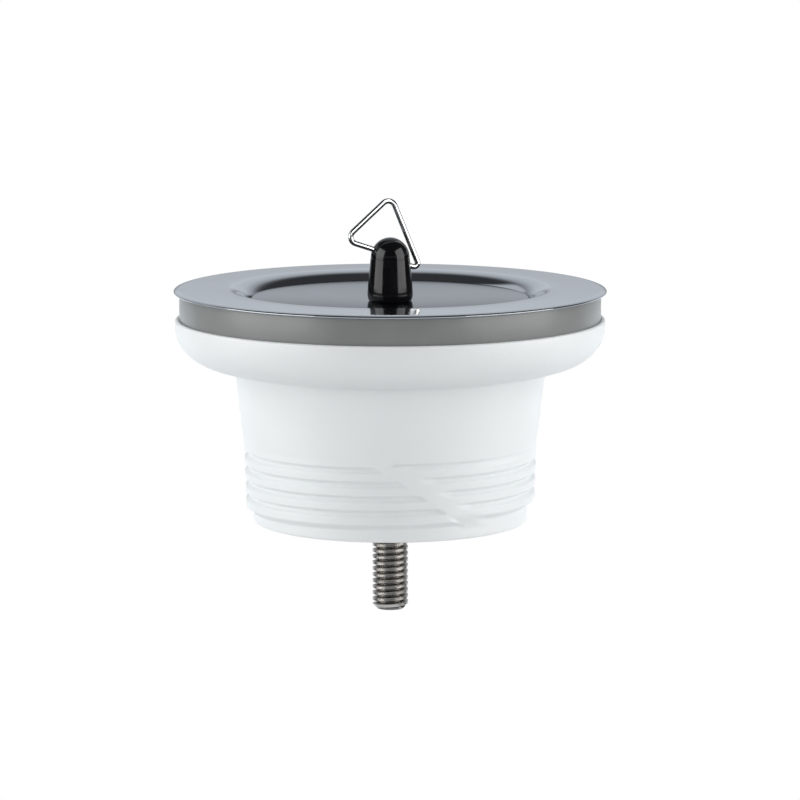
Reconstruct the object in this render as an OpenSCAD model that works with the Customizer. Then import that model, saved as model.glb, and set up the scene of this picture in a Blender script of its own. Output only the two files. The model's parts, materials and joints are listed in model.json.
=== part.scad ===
// Plug waste for a shower tray or sink: a pressed steel flange with a plug in its cup is
// drawn down onto the tray by one long screw, against a white moulded body below the tray.
// Millimetres. The origin is the middle of the steel rim's underside, where the tray's
// surface lies, with +Z up. The front of the object is -Y.

/* [Steel flange] */
// Outside diameter of the rim
rim_d = 70; // [64:0.5:80]
// Thickness of the pressed sheet
sheet_t = 0.5; // [0.4:0.05:0.9]
// Angle at which the rim falls towards its edge, degrees
rim_fall = 1.5; // [0:0.25:3]
// Width of the rim with its rounded lip, from the outer edge in to the plug seat
rim_w = 11.7; // [11:0.1:13]
// Radius of the rounded lip around the mouth
lip_r = 3; // [2:0.1:4]
// Angle of the plug seat from upright, degrees
seat_taper = 10; // [6:0.5:12]
// Depth of the cup below the top of the rim's edge
cup_depth = 12; // [11.4:0.1:15]
// Radius of the corner between seat and cup floor
cup_corner_r = 2; // [1:0.1:3]
// Diameter of each drain hole in the cup floor
drain_hole_d = 7; // [5:0.25:8]
// Number of drain holes
drain_hole_count = 8; // [4:1:8]
// Width of flat floor left outside the drain holes
drain_hole_margin = 2.15; // [1:0.05:2.6]
// Width of the dished seat around the screw's head
dish_play = 1.5; // [1:0.1:2.5]
// Depth of the dished seat
dish_h = 0.6; // [0.3:0.1:1]

/* [Gasket] */
// How far the rim reaches out past the gasket
rim_over_gasket = 0.9; // [0.4:0.1:2]
// Height of the gasket between rim and body
gasket_h = 4.7; // [3:0.1:7]
// Width between the middle of the lip's curve and the gasket's bore
gasket_inset = 1.75; // [0.5:0.05:2.5]
// Depth of the bead that centres the gasket inside the body's bowl
bead_h = 1.3; // [0.6:0.1:2]
// Radius of the gasket's outer edges
gasket_edge_r = 0.3; // [0.1:0.05:0.6]

/* [Body] */
// How far the rim reaches out past the bowl
rim_over_bowl = 0.2; // [0:0.05:0.6]
// Height of the bowl below the gasket
bowl_h = 7.3; // [6.6:0.1:9]
// Straight height of the bowl's outer wall
bowl_straight = 0.8; // [0.3:0.1:1.6]
// Width of the bowl's flat underside between its rounded side and the tail
bowl_flat = 1.65; // [1.2:0.05:4]
// Height of the narrow lip around the foot of the gasket
bowl_lip_h = 0.35; // [0.2:0.05:0.8]
// Thickness of the moulded wall
wall = 2.2; // [1.6:0.1:2.4]
// Radius of the inside corner between bowl and tail
throat_r = 1; // [0.4:0.1:1.4]
// Length of the smooth tail between bowl and thread
tail_len = 12.4; // [8:0.2:24]
// Step from the thread's crest in to the plain neck below it
neck_step = 1.55; // [1:0.05:2]
// Length of the plain neck below the thread
neck_len = 2.3; // [1.6:0.1:6]
// Radius of the neck's bottom edge
neck_edge_r = 0.5; // [0.2:0.1:0.9]

/* [Outlet thread] */
// Outside diameter of the thread
thread_d = 47.5; // [47:0.1:48]
// Depth of the thread's grooves
thread_depth = 0.4; // [0.3:0.05:0.9]
// Rise of the thread for each turn, eleven turns to the inch
thread_pitch = 2.309; // [1.8:0.001:3]
// Length of the threaded part with its chamfer
thread_len = 10.7; // [9:0.1:16]
// Width of a groove at the crest
groove_w = 1.1; // [0.8:0.05:1.6]
// Width of a groove at its bottom
groove_floor_w = 0.25; // [0.15:0.05:0.5]
// Height of the topmost groove at the front, below the end of the tail
groove_start = 1.2; // [0.6:0.02:2]

/* [Relief across the thread] */
// Turn of the slanting relief from the right-hand side, seen from above, degrees
relief_turn = -79; // [-180:1:180]
// How much shallower the relief is than the grooves
relief_floor_h = 0.1; // [0.05:0.05:0.3]
// Width of the relief at its upper end
relief_top_w = 5; // [3:0.1:8]
// Width of the relief at its lower end
relief_end_w = 4.5; // [1:0.1:6]
// How far the relief slants to the right over the length of the thread
relief_slant = 16; // [8:0.5:20]

/* [Spider] */
// Number of ribs that carry the hub
rib_count = 4; // [3:1:6]
// Thickness of a rib
rib_t = 2; // [1.4:0.1:3]
// Height of a rib at the hub
rib_h = 10; // [8:0.5:14]
// How much lower a rib's top is at the wall
rib_drop = 2.5; // [0:0.1:4]
// Height of the ribs' underside above the bottom of the body
rib_lift = 7; // [2:0.5:9]
// Thickness of the hub around the corners of the nut's pocket
hub_wall = 1.77; // [1.2:0.01:3]

/* [Clamp screw and nut] */
// Outside diameter of the clamp screw
screw_d = 5.8; // [5:0.1:6]
// Length of the screw below its head
screw_len = 40; // [36:0.5:60]
// Diameter of the screw's head
head_d = 11; // [9:0.1:12]
// Height of the screw's head
head_h = 2.4; // [1.6:0.1:2.8]
// Width of the slot in the head
slot_w = 1.4; // [0.8:0.1:2]
// Depth of the slot in the head
slot_h = 1.2; // [0.6:0.1:1.5]
// Width of the nut across its flats
nut_flats = 10; // [9:0.1:10.4]
// Height of the nut
nut_h = 5; // [3:0.1:6.5]

/* [Plug] */
// Gap between the plug's steel cover and the inner edge of the lip
cover_gap = 0.8; // [0.6:0.1:1.6]
// Thickness of the cover's sheet
cover_t = 0.5; // [0.3:0.05:0.8]
// How far the cover's edge lies below the top of the rim's edge
cover_sink = 1.6; // [1.2:0.1:2.4]
// Rise of the cover from its edge to its middle
cover_crown = 0.8; // [0.2:0.05:1.2]
// Height of the cover's turned-down edge
cover_edge_h = 1.9; // [1.4:0.1:2.4]
// Radius of the cover's outer edge
cover_edge_r = 0.8; // [0.6:0.05:1.2]
// Height of the rubber seal below the cover's edge
seal_h = 5.2; // [4:0.1:5.6]
// Width of the rubber rim around the hollow underside
seal_w = 3.2; // [2:0.1:5]
// Thickness of the rubber web in the middle
web_t = 2.4; // [1.5:0.1:3]
// Clearance between the seal and its seat
seal_gap = 0.15; // [0.1:0.05:0.3]

/* [Stem] */
// Diameter of the stem at the cover
stem_base_d = 7.4; // [6.6:0.1:9]
// Diameter of the stem at its shoulder
stem_top_d = 6.4; // [5.8:0.1:7.6]
// Height of the shoulder above the cover's middle
shoulder_h = 6.5; // [6:0.1:9]
// Width of the step at the shoulder
shoulder_w = 0.2; // [0.1:0.05:0.4]
// Height of the rounded top above the shoulder
stem_dome_h = 2.55; // [2:0.05:3]
// Diameter of the rubber neck that passes through the cover
stem_neck_d = 5; // [3.5:0.1:6]

/* [Pull ring] */
// Diameter of the ring's wire
wire_d = 0.9; // [0.7:0.05:1]
// Radius of the two upper bends, at the wire's middle line
bend_r = 1.15; // [0.8:0.05:1.4]
// Radius of the two bends beside the stem, at the wire's middle line
bar_bend_r = 0.6; // [0.55:0.05:0.65]
// How much the wire swells in its bends, in radius
bend_swell = 0.01; // [0.01:0.01:0.03]
// How far below the shoulder the bar crosses the stem's middle
bar_drop = 0.6; // [0.4:0.1:1]
// Angle at which the bar falls to the right, degrees
bar_fall = 24.3; // [0:0.1:28]
// Turn of the ring seen from above, degrees
ring_turn = 12; // [-30:1:30]
// How far the bar's right-hand corner lies outside the stem
bar_right_out = 2.35; // [2.35:0.05:3]
// How far the bar's bend on the left lies outside the stem
bar_left_out = 0.15; // [0:0.05:0.7]
// Length of the arm that goes on from the bend to the left-hand corner
arm_len = 4.75; // [4:0.05:6]
// Angle by which the arm is bent down from the bar's line, degrees
arm_bend = 5.6; // [0:0.1:8]
// Height of the ring's apex, square to the bar
apex_h = 9.05; // [8:0.05:11]
// Distance of the apex along the bar, to the left of the stem's middle
apex_left = 3.95; // [2:0.05:5]
// Gap between the wire's two ends inside the stem
wire_gap = 0.4; // [0.2:0.1:1]
// Radial clearance of the wire in the stem
wire_clear = 0.05; // [0.02:0.01:0.1]

/* [Clearances] */
// Clearance between the steel cup and the body's throat
cup_clear = 0.56; // [0.3:0.01:1.2]
// Gap between the rim and the gasket under it before the screw is tightened
rim_seat = 0.01; // [0.01:0.01:0.05]
// Clearance around the gasket's foot and bead
gasket_clear = 0.1; // [0.05:0.05:0.3]
// Clearance of the screw in its nut, hub and cup
screw_clear = 0.05; // [0.03:0.01:0.1]
// Clearance around the nut in its pocket
nut_clear = 0.05; // [0.03:0.01:0.1]
// Extra width of the screw's holes in cup and hub
screw_hole_play = 0.25; // [0.1:0.05:0.5]

/* [Hidden] */
$fn = 96;

// Cuts reach this far past the faces they pass through
over = 1;
// Segments in a quarter of a rounded edge, and in each turn of the thread's groove
arc_steps = 8;
groove_steps = 48;
// Part of a turn over which the groove fades out at its upper end
fade_turn = 0.25;
// Height above the crest at which the fading groove ends
fade_lift = 0.05;

rim_r = rim_d / 2;
rim_top = sheet_t;
rim_edge_r = rim_r - sheet_t / 2;
seat_r = rim_r - rim_w;
lip_centre_r = seat_r + lip_r * cos(seat_taper);
lip_centre_z = rim_under_z(lip_centre_r) - (lip_r - sheet_t) / cos(rim_fall);
seat_top_z = lip_centre_z + lip_r * sin(seat_taper);
floor_z = rim_top - cup_depth;
head_r = head_d / 2;
dish_r = head_r + dish_play;
dish_z = floor_z - dish_h;
floor_r = seat_r
    + (sin(seat_taper) * (floor_z + cup_corner_r - seat_top_z) - cup_corner_r) / cos(seat_taper);
drain_hole_at = floor_r - drain_hole_margin - drain_hole_d / 2;

gasket_r = rim_r - rim_over_gasket;
gasket_bore_r = lip_centre_r + gasket_inset;
bowl_r = rim_r - rim_over_bowl;
bowl_top_z = -gasket_h;
bowl_under_z = bowl_top_z - bowl_h;
bowl_side_h = bowl_h - bowl_straight;
throat_z = bowl_under_z + wall;
tail_r = seat_r_at(throat_z) + sheet_t / cos(seat_taper) + cup_clear + wall;
bowl_round = bowl_r - tail_r - bowl_flat;
thread_r = thread_d / 2;
root_r = thread_r - thread_depth;
thread_top_z = bowl_under_z - tail_len;
thread_end_z = thread_top_z - thread_len;
body_end_z = thread_end_z - neck_len;
neck_r = thread_r - neck_step;
bore_r = neck_r - wall;

rib_z = body_end_z + rib_lift;
pocket_flats = nut_flats + 2 * nut_clear;
hub_r = pocket_flats / 2 / cos(30) + hub_wall;
screw_r = screw_d / 2;
screw_hole_r = screw_r + screw_clear + screw_hole_play;

cover_r = seat_r - cover_gap;
cover_edge_z = rim_top - cover_sink;
cover_flat_r = cover_r - cover_edge_r;
cover_middle_z = cover_edge_z + cover_crown;
cover_end_z = cover_edge_z - cover_edge_h;
seal_end_z = cover_end_z - seal_h;
web_z = cover_edge_z - cover_t - web_t;
stem_neck_r = stem_neck_d / 2;
shoulder_z = cover_middle_z + shoulder_h;

wire_r = wire_d / 2;
wire_lap = 0.06;
bar_z = shoulder_z - bar_drop;
bar_left = stem_top_d / 2 + bar_left_out;
bar_right = stem_top_d / 2 + bar_right_out;

function arc(c, r, from, to, steps = arc_steps) =
    [for (i = [0:steps]) let (a = from + (to - from) * i / steps) c + r * [cos(a), sin(a)]];
function oval_arc(c, r, from, to, steps = arc_steps) =
    [for (i = [0:steps]) let (a = from + (to - from) * i / steps)
        c + [r[0] * cos(a), r[1] * sin(a)]];
function reversed(points) = [for (i = [len(points) - 1:-1:0]) points[i]];

// Height of the rim's underside, which the gasket's top follows
function rim_under_z(r) = sheet_t / 2 * (1 - 1 / cos(rim_fall)) + (rim_edge_r - r) * tan(rim_fall);
// Inner radius of the plug seat at a height
function seat_r_at(z) = seat_r - (seat_top_z - z) * tan(seat_taper);
// Height of the cover's top, a shallow crown
function cover_z(r) = cover_middle_z - cover_crown * pow(r / cover_flat_r, 2);
// Outer radius of the tail's draft at a height
function tail_r_at(z) = thread_r + (tail_r - thread_r) * (z - thread_top_z) / tail_len;

// One face of the pressed sheet, from the rim's edge to the screw hole, k below the top face
function flange_face(k) = concat(
    arc([lip_centre_r, lip_centre_z], lip_r - k, 90 - rim_fall, 180 - seat_taper),
    arc([floor_r, floor_z + cup_corner_r], cup_corner_r + k, -seat_taper, -90),
    [[dish_r + dish_h, floor_z - k], [dish_r, dish_z - k], [screw_hole_r, dish_z - k]]);

module steel_flange() {
    color([0.70, 0.72, 0.74])
    difference() {
        rotate_extrude()
            polygon(concat(
                arc([rim_edge_r, sheet_t / 2], sheet_t / 2, -90 - rim_fall, 90 - rim_fall),
                flange_face(0),
                reversed(flange_face(sheet_t))));
        for (i = [0:drain_hole_count - 1])
            rotate(360 / drain_hole_count * (i + 0.5))
                translate([drain_hole_at, 0, floor_z - sheet_t - over])
                    cylinder(d = drain_hole_d, h = sheet_t + 2 * over, $fn = 48);
    }
}

module gasket() {
    edge_r = gasket_r - gasket_edge_r;
    bead_r = bowl_r - wall - gasket_clear;
    function top_z(r) = rim_under_z(r) - rim_seat;
    color([0.60, 0.62, 0.60])
        rotate_extrude()
            polygon(concat(
                [[gasket_bore_r, top_z(gasket_bore_r)]],
                arc([edge_r, top_z(edge_r) - gasket_edge_r / cos(rim_fall)],
                    gasket_edge_r, 90 - rim_fall, 0, 4),
                [[gasket_r, bowl_top_z], [bead_r, bowl_top_z],
                 [bead_r, bowl_top_z - bead_h], [gasket_bore_r, bowl_top_z - bead_h]]));
}

// Outline of the moulded wall, half of its section
function body_outside() = concat(
    arc([bowl_r - bowl_lip_h, bowl_top_z], bowl_lip_h, 90, 0, 4),
    oval_arc([bowl_r - bowl_round, bowl_top_z - bowl_straight],
             [bowl_round, bowl_side_h], 0, -90, 16),
    [[tail_r_at(bowl_under_z) + throat_r, bowl_under_z]],
    [[tail_r_at(bowl_under_z - throat_r), bowl_under_z - throat_r]],
    [[thread_r, thread_top_z]],
    [[thread_r, thread_end_z + thread_r - neck_r], [neck_r, thread_end_z]],
    arc([neck_r - neck_edge_r, body_end_z + neck_edge_r], neck_edge_r, 0, -90, 4));
function body_inside() = concat(
    [[bore_r, body_end_z], [bore_r, thread_top_z]],
    [[tail_r_at(bowl_under_z) - wall, bowl_under_z]],
    [[tail_r_at(bowl_under_z) - wall, throat_z - throat_r]],
    [[tail_r_at(bowl_under_z) - wall + throat_r, throat_z]],
    oval_arc([bowl_r - bowl_round, bowl_top_z - bowl_straight],
             [bowl_round - wall, bowl_side_h - wall], -90, 0, 12),
    [[bowl_r - wall, bowl_top_z],
     [gasket_r + gasket_clear, bowl_top_z],
     [gasket_r + gasket_clear, bowl_top_z + bowl_lip_h]]);

module body() {
    color([0.93, 0.94, 0.94])
    difference() {
        union() {
            rotate_extrude()
                polygon(concat(body_outside(), body_inside()));
            translate([0, 0, rib_z])
                cylinder(r = hub_r, h = rib_h);
            for (i = [0:rib_count - 1])
                rotate(360 / rib_count * i)
                    spider_rib();
        }
        translate([0, 0, rib_z - over])
            cylinder(r = screw_hole_r, h = rib_h + 2 * over);
        translate([0, 0, rib_z - over])
            nut_blank(pocket_flats, nut_h + over);
        thread_groove();
        thread_relief();
    }
}

// A rib from inside the hub to inside the wall, its top falling towards the wall
module spider_rib() {
    inside = screw_hole_r + 1;
    outside = bore_r + wall / 2;
    rotate([90, 0, 0])
        translate([0, 0, -rib_t / 2])
            linear_extrude(rib_t)
                polygon([[inside, rib_z], [outside, rib_z],
                         [outside, rib_z + rib_h - rib_drop],
                         [hub_r, rib_z + rib_h], [inside, rib_z + rib_h]]);
}

// The groove climbs to the right round the blank. It starts below the thread's chamfer and
// fades out at the top.
module thread_groove() {
    first_z = thread_top_z - groove_start;
    turns_down = ceil((first_z - thread_end_z) / thread_pitch);
    turns = turns_down + fade_turn;
    rings = ceil(turns * groove_steps);
    reach = thread_r + over;
    flare = (groove_w - groove_floor_w) / 2 * over / (thread_r - root_r);
    function depth_at(i) = min(1, (rings - i) / (fade_turn * groove_steps));
    function ring(i) = let (
        a = -90 + 360 * (i / groove_steps - turns_down),
        z = first_z + thread_pitch * (i / groove_steps - turns_down),
        bottom = thread_r + fade_lift - (thread_depth + fade_lift) * depth_at(i),
        wide = groove_w / 2 + flare)
        [for (p = [[reach, wide], [bottom, groove_floor_w / 2],
                   [bottom, -groove_floor_w / 2], [reach, -wide]])
            [p[0] * cos(a), p[0] * sin(a), z + p[1]]];
    points = [for (i = [0:rings]) each ring(i)];
    sides = [for (i = [0:rings - 1]) for (j = [0:3]) let (
        a = 4 * i + j, b = 4 * i + (j + 1) % 4)
        each [[a, b, a + 4], [b, b + 4, a + 4]]];
    polyhedron(points, concat([[3, 2, 1, 0]], sides,
        [[4 * rings, 4 * rings + 1, 4 * rings + 2, 4 * rings + 3]]), convexity = 10);
}

// A shallow channel that crosses the thread on a slant, nearly as deep as its grooves
module thread_relief() {
    relief_r = root_r + relief_floor_h;
    left = -relief_slant / 2;
    top = thread_top_z - groove_start + groove_w / 2;
    difference() {
        rotate(relief_turn)
            rotate([90, 0, 90])
                linear_extrude(thread_r + over)
                    polygon([[left, top], [left + relief_top_w, top],
                             [left + relief_slant + relief_end_w, thread_end_z],
                             [left + relief_slant, thread_end_z]]);
        translate([0, 0, body_end_z])
            cylinder(r = relief_r, h = thread_top_z - body_end_z + over);
    }
}

module nut_blank(flats, h) {
    rotate(30)
        cylinder(d = flats / cos(30), h = h, $fn = 6);
}

module hub_nut() {
    chamfer = 0.4;
    corner_r = nut_flats / 2 / cos(30);
    color([0.78, 0.62, 0.34])
    translate([0, 0, rib_z])
        difference() {
            intersection() {
                nut_blank(nut_flats, nut_h);
                union() {
                    cylinder(r1 = corner_r - chamfer, r2 = corner_r, h = chamfer);
                    translate([0, 0, chamfer])
                        cylinder(r = corner_r, h = nut_h);
                }
            }
            translate([0, 0, -over])
                cylinder(r = screw_r + screw_clear, h = nut_h + 2 * over);
        }
}

module clamp_screw() {
    crown = head_h / 3;
    end_chamfer = 0.3;
    color([0.62, 0.60, 0.57])
    difference() {
        rotate_extrude()
            polygon(concat(
                oval_arc([0, dish_z + head_h - crown], [head_r, crown], 90, 0, 6),
                [[head_r, dish_z], [screw_r, dish_z],
                 [screw_r, dish_z - screw_len + end_chamfer],
                 [screw_r - end_chamfer, dish_z - screw_len], [0, dish_z - screw_len]]));
        translate([-head_d, -slot_w / 2, dish_z + head_h - slot_h])
            cube([2 * head_d, slot_w, slot_h + over]);
    }
}

// Points of the cover's crown from one radius to another
function crown_face(from, to, lower, steps = 6) =
    [for (i = [0:steps]) let (r = from + (to - from) * i / steps) [r, cover_z(r) - lower]];

module plug_cover() {
    color([0.66, 0.68, 0.70])
        rotate_extrude()
            polygon(concat(
                crown_face(stem_neck_r, cover_flat_r, 0),
                arc([cover_flat_r, cover_edge_z - cover_edge_r], cover_edge_r, 75, 0, 5),
                [[cover_r, cover_end_z], [cover_r - cover_t, cover_end_z]],
                arc([cover_flat_r, cover_edge_z - cover_edge_r], cover_edge_r - cover_t, 0, 75, 3),
                crown_face(cover_flat_r, stem_neck_r, cover_t)));
}

module plug() {
    seal_top_z = cover_end_z;
    seal_gap_r = seal_gap / cos(seat_taper);
    seal_top_r = seat_r_at(seal_top_z) - seal_gap_r;
    seal_end_r = seat_r_at(seal_end_z) - seal_gap_r;
    hollow_r = seal_end_r - seal_w;
    seal_edge_r = 0.6;
    color([0.05, 0.05, 0.06])
    difference() {
        rotate_extrude()
            polygon(concat(
                oval_arc([0, shoulder_z], [stem_top_d / 2 - shoulder_w, stem_dome_h], 90, 0, 10),
                [[stem_top_d / 2, shoulder_z - shoulder_w]],
                [[stem_base_d / 2, cover_z(stem_base_d / 2)]],
                crown_face(stem_base_d / 2, stem_neck_r, 0, 1),
                crown_face(stem_neck_r, cover_flat_r, cover_t),
                arc([cover_flat_r, cover_edge_z - cover_edge_r], cover_edge_r - cover_t, 75, 0, 3),
                [[cover_r - cover_t, seal_top_z], [seal_top_r, seal_top_z]],
                [[seal_end_r + seal_edge_r * tan(seat_taper), seal_end_z + seal_edge_r]],
                [[seal_end_r - seal_edge_r, seal_end_z], [hollow_r, seal_end_z]],
                [[hollow_r, web_z - seal_edge_r], [hollow_r - seal_edge_r, web_z], [0, web_z]]));
        ring_place()
            rotate([0, 90, 0])
                cylinder(r = wire_r + wire_clear, h = 2 * stem_base_d, center = true, $fn = 32);
    }
}

// The ring is drawn flat, with its bar on the X axis and the stem's middle at the origin
module ring_place() {
    rotate(ring_turn)
        translate([0, 0, bar_z])
            rotate([0, bar_fall, 0])
                children();
}

function ring_corners() = [
    [-wire_gap / 2, 0],
    [-bar_left, 0],
    [-bar_left - arm_len * cos(arm_bend), arm_len * sin(-arm_bend)],
    [-apex_left, apex_h],
    [bar_right, 0],
    [wire_gap / 2, 0]];
function ring_bends() = [0, bar_bend_r, bend_r, bend_r, bar_bend_r, 0];

// A wire along corner points in a plane, each inner corner bent to its own radius. Every
// stretch starts at the last one's end: X is the way ahead, and Y the side to turn to.
// The straight lengths reach a little into the bends, which are slightly thicker.
module bent_wire(corners, bends, r, i = 0) {
    last = len(corners) - 1;
    function way(k) = let (d = corners[k + 1] - corners[k]) d / norm(d);
    function turn(k) = let (a = way(k - 1), b = way(k))
        atan2(a[0] * b[1] - a[1] * b[0], a * b);
    function trim(k) = k == 0 || k == last ? 0 : bends[k] * tan(abs(turn(k)) / 2);
    function lap(k) = k == 0 || k == last ? 0 : wire_lap;
    length = norm(corners[i + 1] - corners[i]) - trim(i) - trim(i + 1);
    translate([-lap(i), 0, 0])
        rotate([0, 90, 0])
            cylinder(r = r, h = length + lap(i) + lap(i + 1), $fn = 32);
    if (i + 1 < last) {
        angle = turn(i + 1);
        side = angle > 0 ? 0 : 1;
        translate([length, 0, 0])
            mirror([0, side, 0])
                translate([0, bends[i + 1], 0]) {
                    rotate(-90)
                        rotate_extrude(angle = abs(angle))
                            translate([bends[i + 1], 0])
                                circle(r = r + bend_swell, $fn = 32);
                    rotate(abs(angle))
                        translate([0, -bends[i + 1], 0])
                            mirror([0, side, 0])
                                bent_wire(corners, bends, r, i + 1);
                }
    }
}

module pull_ring() {
    color([0.80, 0.81, 0.82])
        ring_place()
            rotate([90, 0, 0])
                translate([ring_corners()[0][0], 0, 0])
                    rotate(180)
                        bent_wire(ring_corners(), ring_bends(), wire_r);
}

steel_flange();
gasket();
body();
hub_nut();
clamp_screw();
plug();
plug_cover();
pull_ring();
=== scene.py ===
"""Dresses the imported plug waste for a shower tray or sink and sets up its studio.

Lengths are metres. The origin is the middle of the rim's underside, +Z is up and the front is -Y.
Outlines are lists of (radius, height) points, spun round the upright axis.
"""
import json
from math import atan2, cos, degrees, exp, hypot, pi, radians, sin, tan

import bmesh
import bpy
from bpy.props import (
    FloatProperty, FloatVectorProperty, IntProperty, PointerProperty)
from mathutils import Matrix, Vector


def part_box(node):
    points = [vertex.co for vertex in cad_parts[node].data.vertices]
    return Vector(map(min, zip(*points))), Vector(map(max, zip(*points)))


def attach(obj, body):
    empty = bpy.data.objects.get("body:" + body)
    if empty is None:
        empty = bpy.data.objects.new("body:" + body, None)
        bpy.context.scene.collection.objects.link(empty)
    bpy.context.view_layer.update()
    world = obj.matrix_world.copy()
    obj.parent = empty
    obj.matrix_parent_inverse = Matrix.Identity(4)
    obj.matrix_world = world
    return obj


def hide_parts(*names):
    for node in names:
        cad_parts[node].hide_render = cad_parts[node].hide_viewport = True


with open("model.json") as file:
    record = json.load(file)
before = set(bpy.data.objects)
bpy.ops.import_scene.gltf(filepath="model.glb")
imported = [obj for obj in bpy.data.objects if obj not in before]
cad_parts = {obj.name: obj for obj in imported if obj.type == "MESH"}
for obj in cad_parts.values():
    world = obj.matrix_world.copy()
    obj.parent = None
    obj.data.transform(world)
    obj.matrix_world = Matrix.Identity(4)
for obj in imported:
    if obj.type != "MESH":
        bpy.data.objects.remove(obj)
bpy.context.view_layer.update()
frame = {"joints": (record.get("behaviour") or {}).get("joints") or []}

bl_info = {
    "name": "Plug Waste",
    "version": (1, 0, 0),
    "blender": (4, 5, 0),
    "location": "3D View > Sidebar > Plug Waste",
    "description": "Models a plug waste for a shower tray or sink, and the studio it is shown in",
    "category": "Add Mesh",
}

MM = 0.001
# How far from a bend a supporting point keeps a long face flat
NEAR = 0.1 * MM
# A length too small to see
HAIR = 0.01 * MM
# Segments round the axis on wide pieces, on the moulded body, on the plug and on narrow pieces
WIDE_STEPS = 224
BODY_STEPS = 440
PLUG_STEPS = 144
NARROW_STEPS = 96
# Degrees over which the edge of the plug's cover turns down
COVER_TURN = 88


def top_of(node):
    """Height of the highest point of a piece of the frame."""
    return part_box(node)[1].z


def foot_of(node):
    """Height of the lowest point of a piece of the frame."""
    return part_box(node)[0].z


def reach_of(node):
    """Outer radius of a round piece of the frame."""
    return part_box(node)[1].x


class FlangeSettings(bpy.types.PropertyGroup):
    """Sizes of the pressed steel flange."""
    sheet: FloatProperty(
        name="Sheet", description="Thickness of the pressed sheet",
        default=0.5 * MM, unit="LENGTH")
    rim_fall: FloatProperty(
        name="Rim fall", description="Angle at which the rim falls towards its edge",
        default=radians(0.2), unit="ROTATION", subtype="ANGLE")
    edge_width: FloatProperty(
        name="Edge width", description="Width over which the rim's outer edge curves down",
        default=0.9 * MM, unit="LENGTH")
    under_edge: FloatProperty(
        name="Under edge", description="Radius of the rim's lower outer edge",
        default=0.15 * MM, unit="LENGTH")
    lip_radius: FloatProperty(
        name="Lip radius", description="Radius of the rounded lip around the mouth",
        default=3 * MM, unit="LENGTH")
    seat_radius: FloatProperty(
        name="Seat radius", description="Radius of the plug seat at its top",
        default=23.3 * MM, unit="LENGTH")
    seat_taper: FloatProperty(
        name="Seat taper", description="Angle of the plug seat from upright",
        default=radians(10), unit="ROTATION", subtype="ANGLE")
    corner_radius: FloatProperty(
        name="Corner radius", description="Radius between the plug seat and the cup's floor",
        default=2 * MM, unit="LENGTH")
    dish_radius: FloatProperty(
        name="Dish radius", description="Radius of the dished seat around the screw's head",
        default=7 * MM, unit="LENGTH")
    dish_depth: FloatProperty(
        name="Dish depth", description="Depth of the dished seat",
        default=0.6 * MM, unit="LENGTH")
    hole_radius: FloatProperty(
        name="Drain hole radius", description="Radius of a drain hole in the cup's floor",
        default=3.5 * MM, unit="LENGTH")
    hole_circle: FloatProperty(
        name="Drain hole circle", description="Radius of the circle on which the holes lie",
        default=14.25 * MM, unit="LENGTH")
    hole_count: IntProperty(
        name="Drain holes", description="Number of drain holes", default=8, min=3)


class GasketSettings(bpy.types.PropertyGroup):
    """Sizes of the gasket."""
    height: FloatProperty(
        name="Height", description="Height of the band between rim and body",
        default=4.7 * MM, unit="LENGTH")
    bore: FloatProperty(
        name="Bore", description="Radius of the gasket's bore",
        default=28 * MM, unit="LENGTH")
    bead_radius: FloatProperty(
        name="Bead radius", description="Radius of the bead that centres it in the bowl",
        default=32.5 * MM, unit="LENGTH")
    rim_seat: FloatProperty(
        name="Rim seat", description="Gap between the gasket and the rim above it",
        default=0.01 * MM, unit="LENGTH")
    edge_radius: FloatProperty(
        name="Edge radius", description="Radius of the outer upper edge",
        default=0.3 * MM, unit="LENGTH")
    inner_radius: FloatProperty(
        name="Inner radius", description="Radius of the edges at the bore and the bead",
        default=0.2 * MM, unit="LENGTH")


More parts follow.
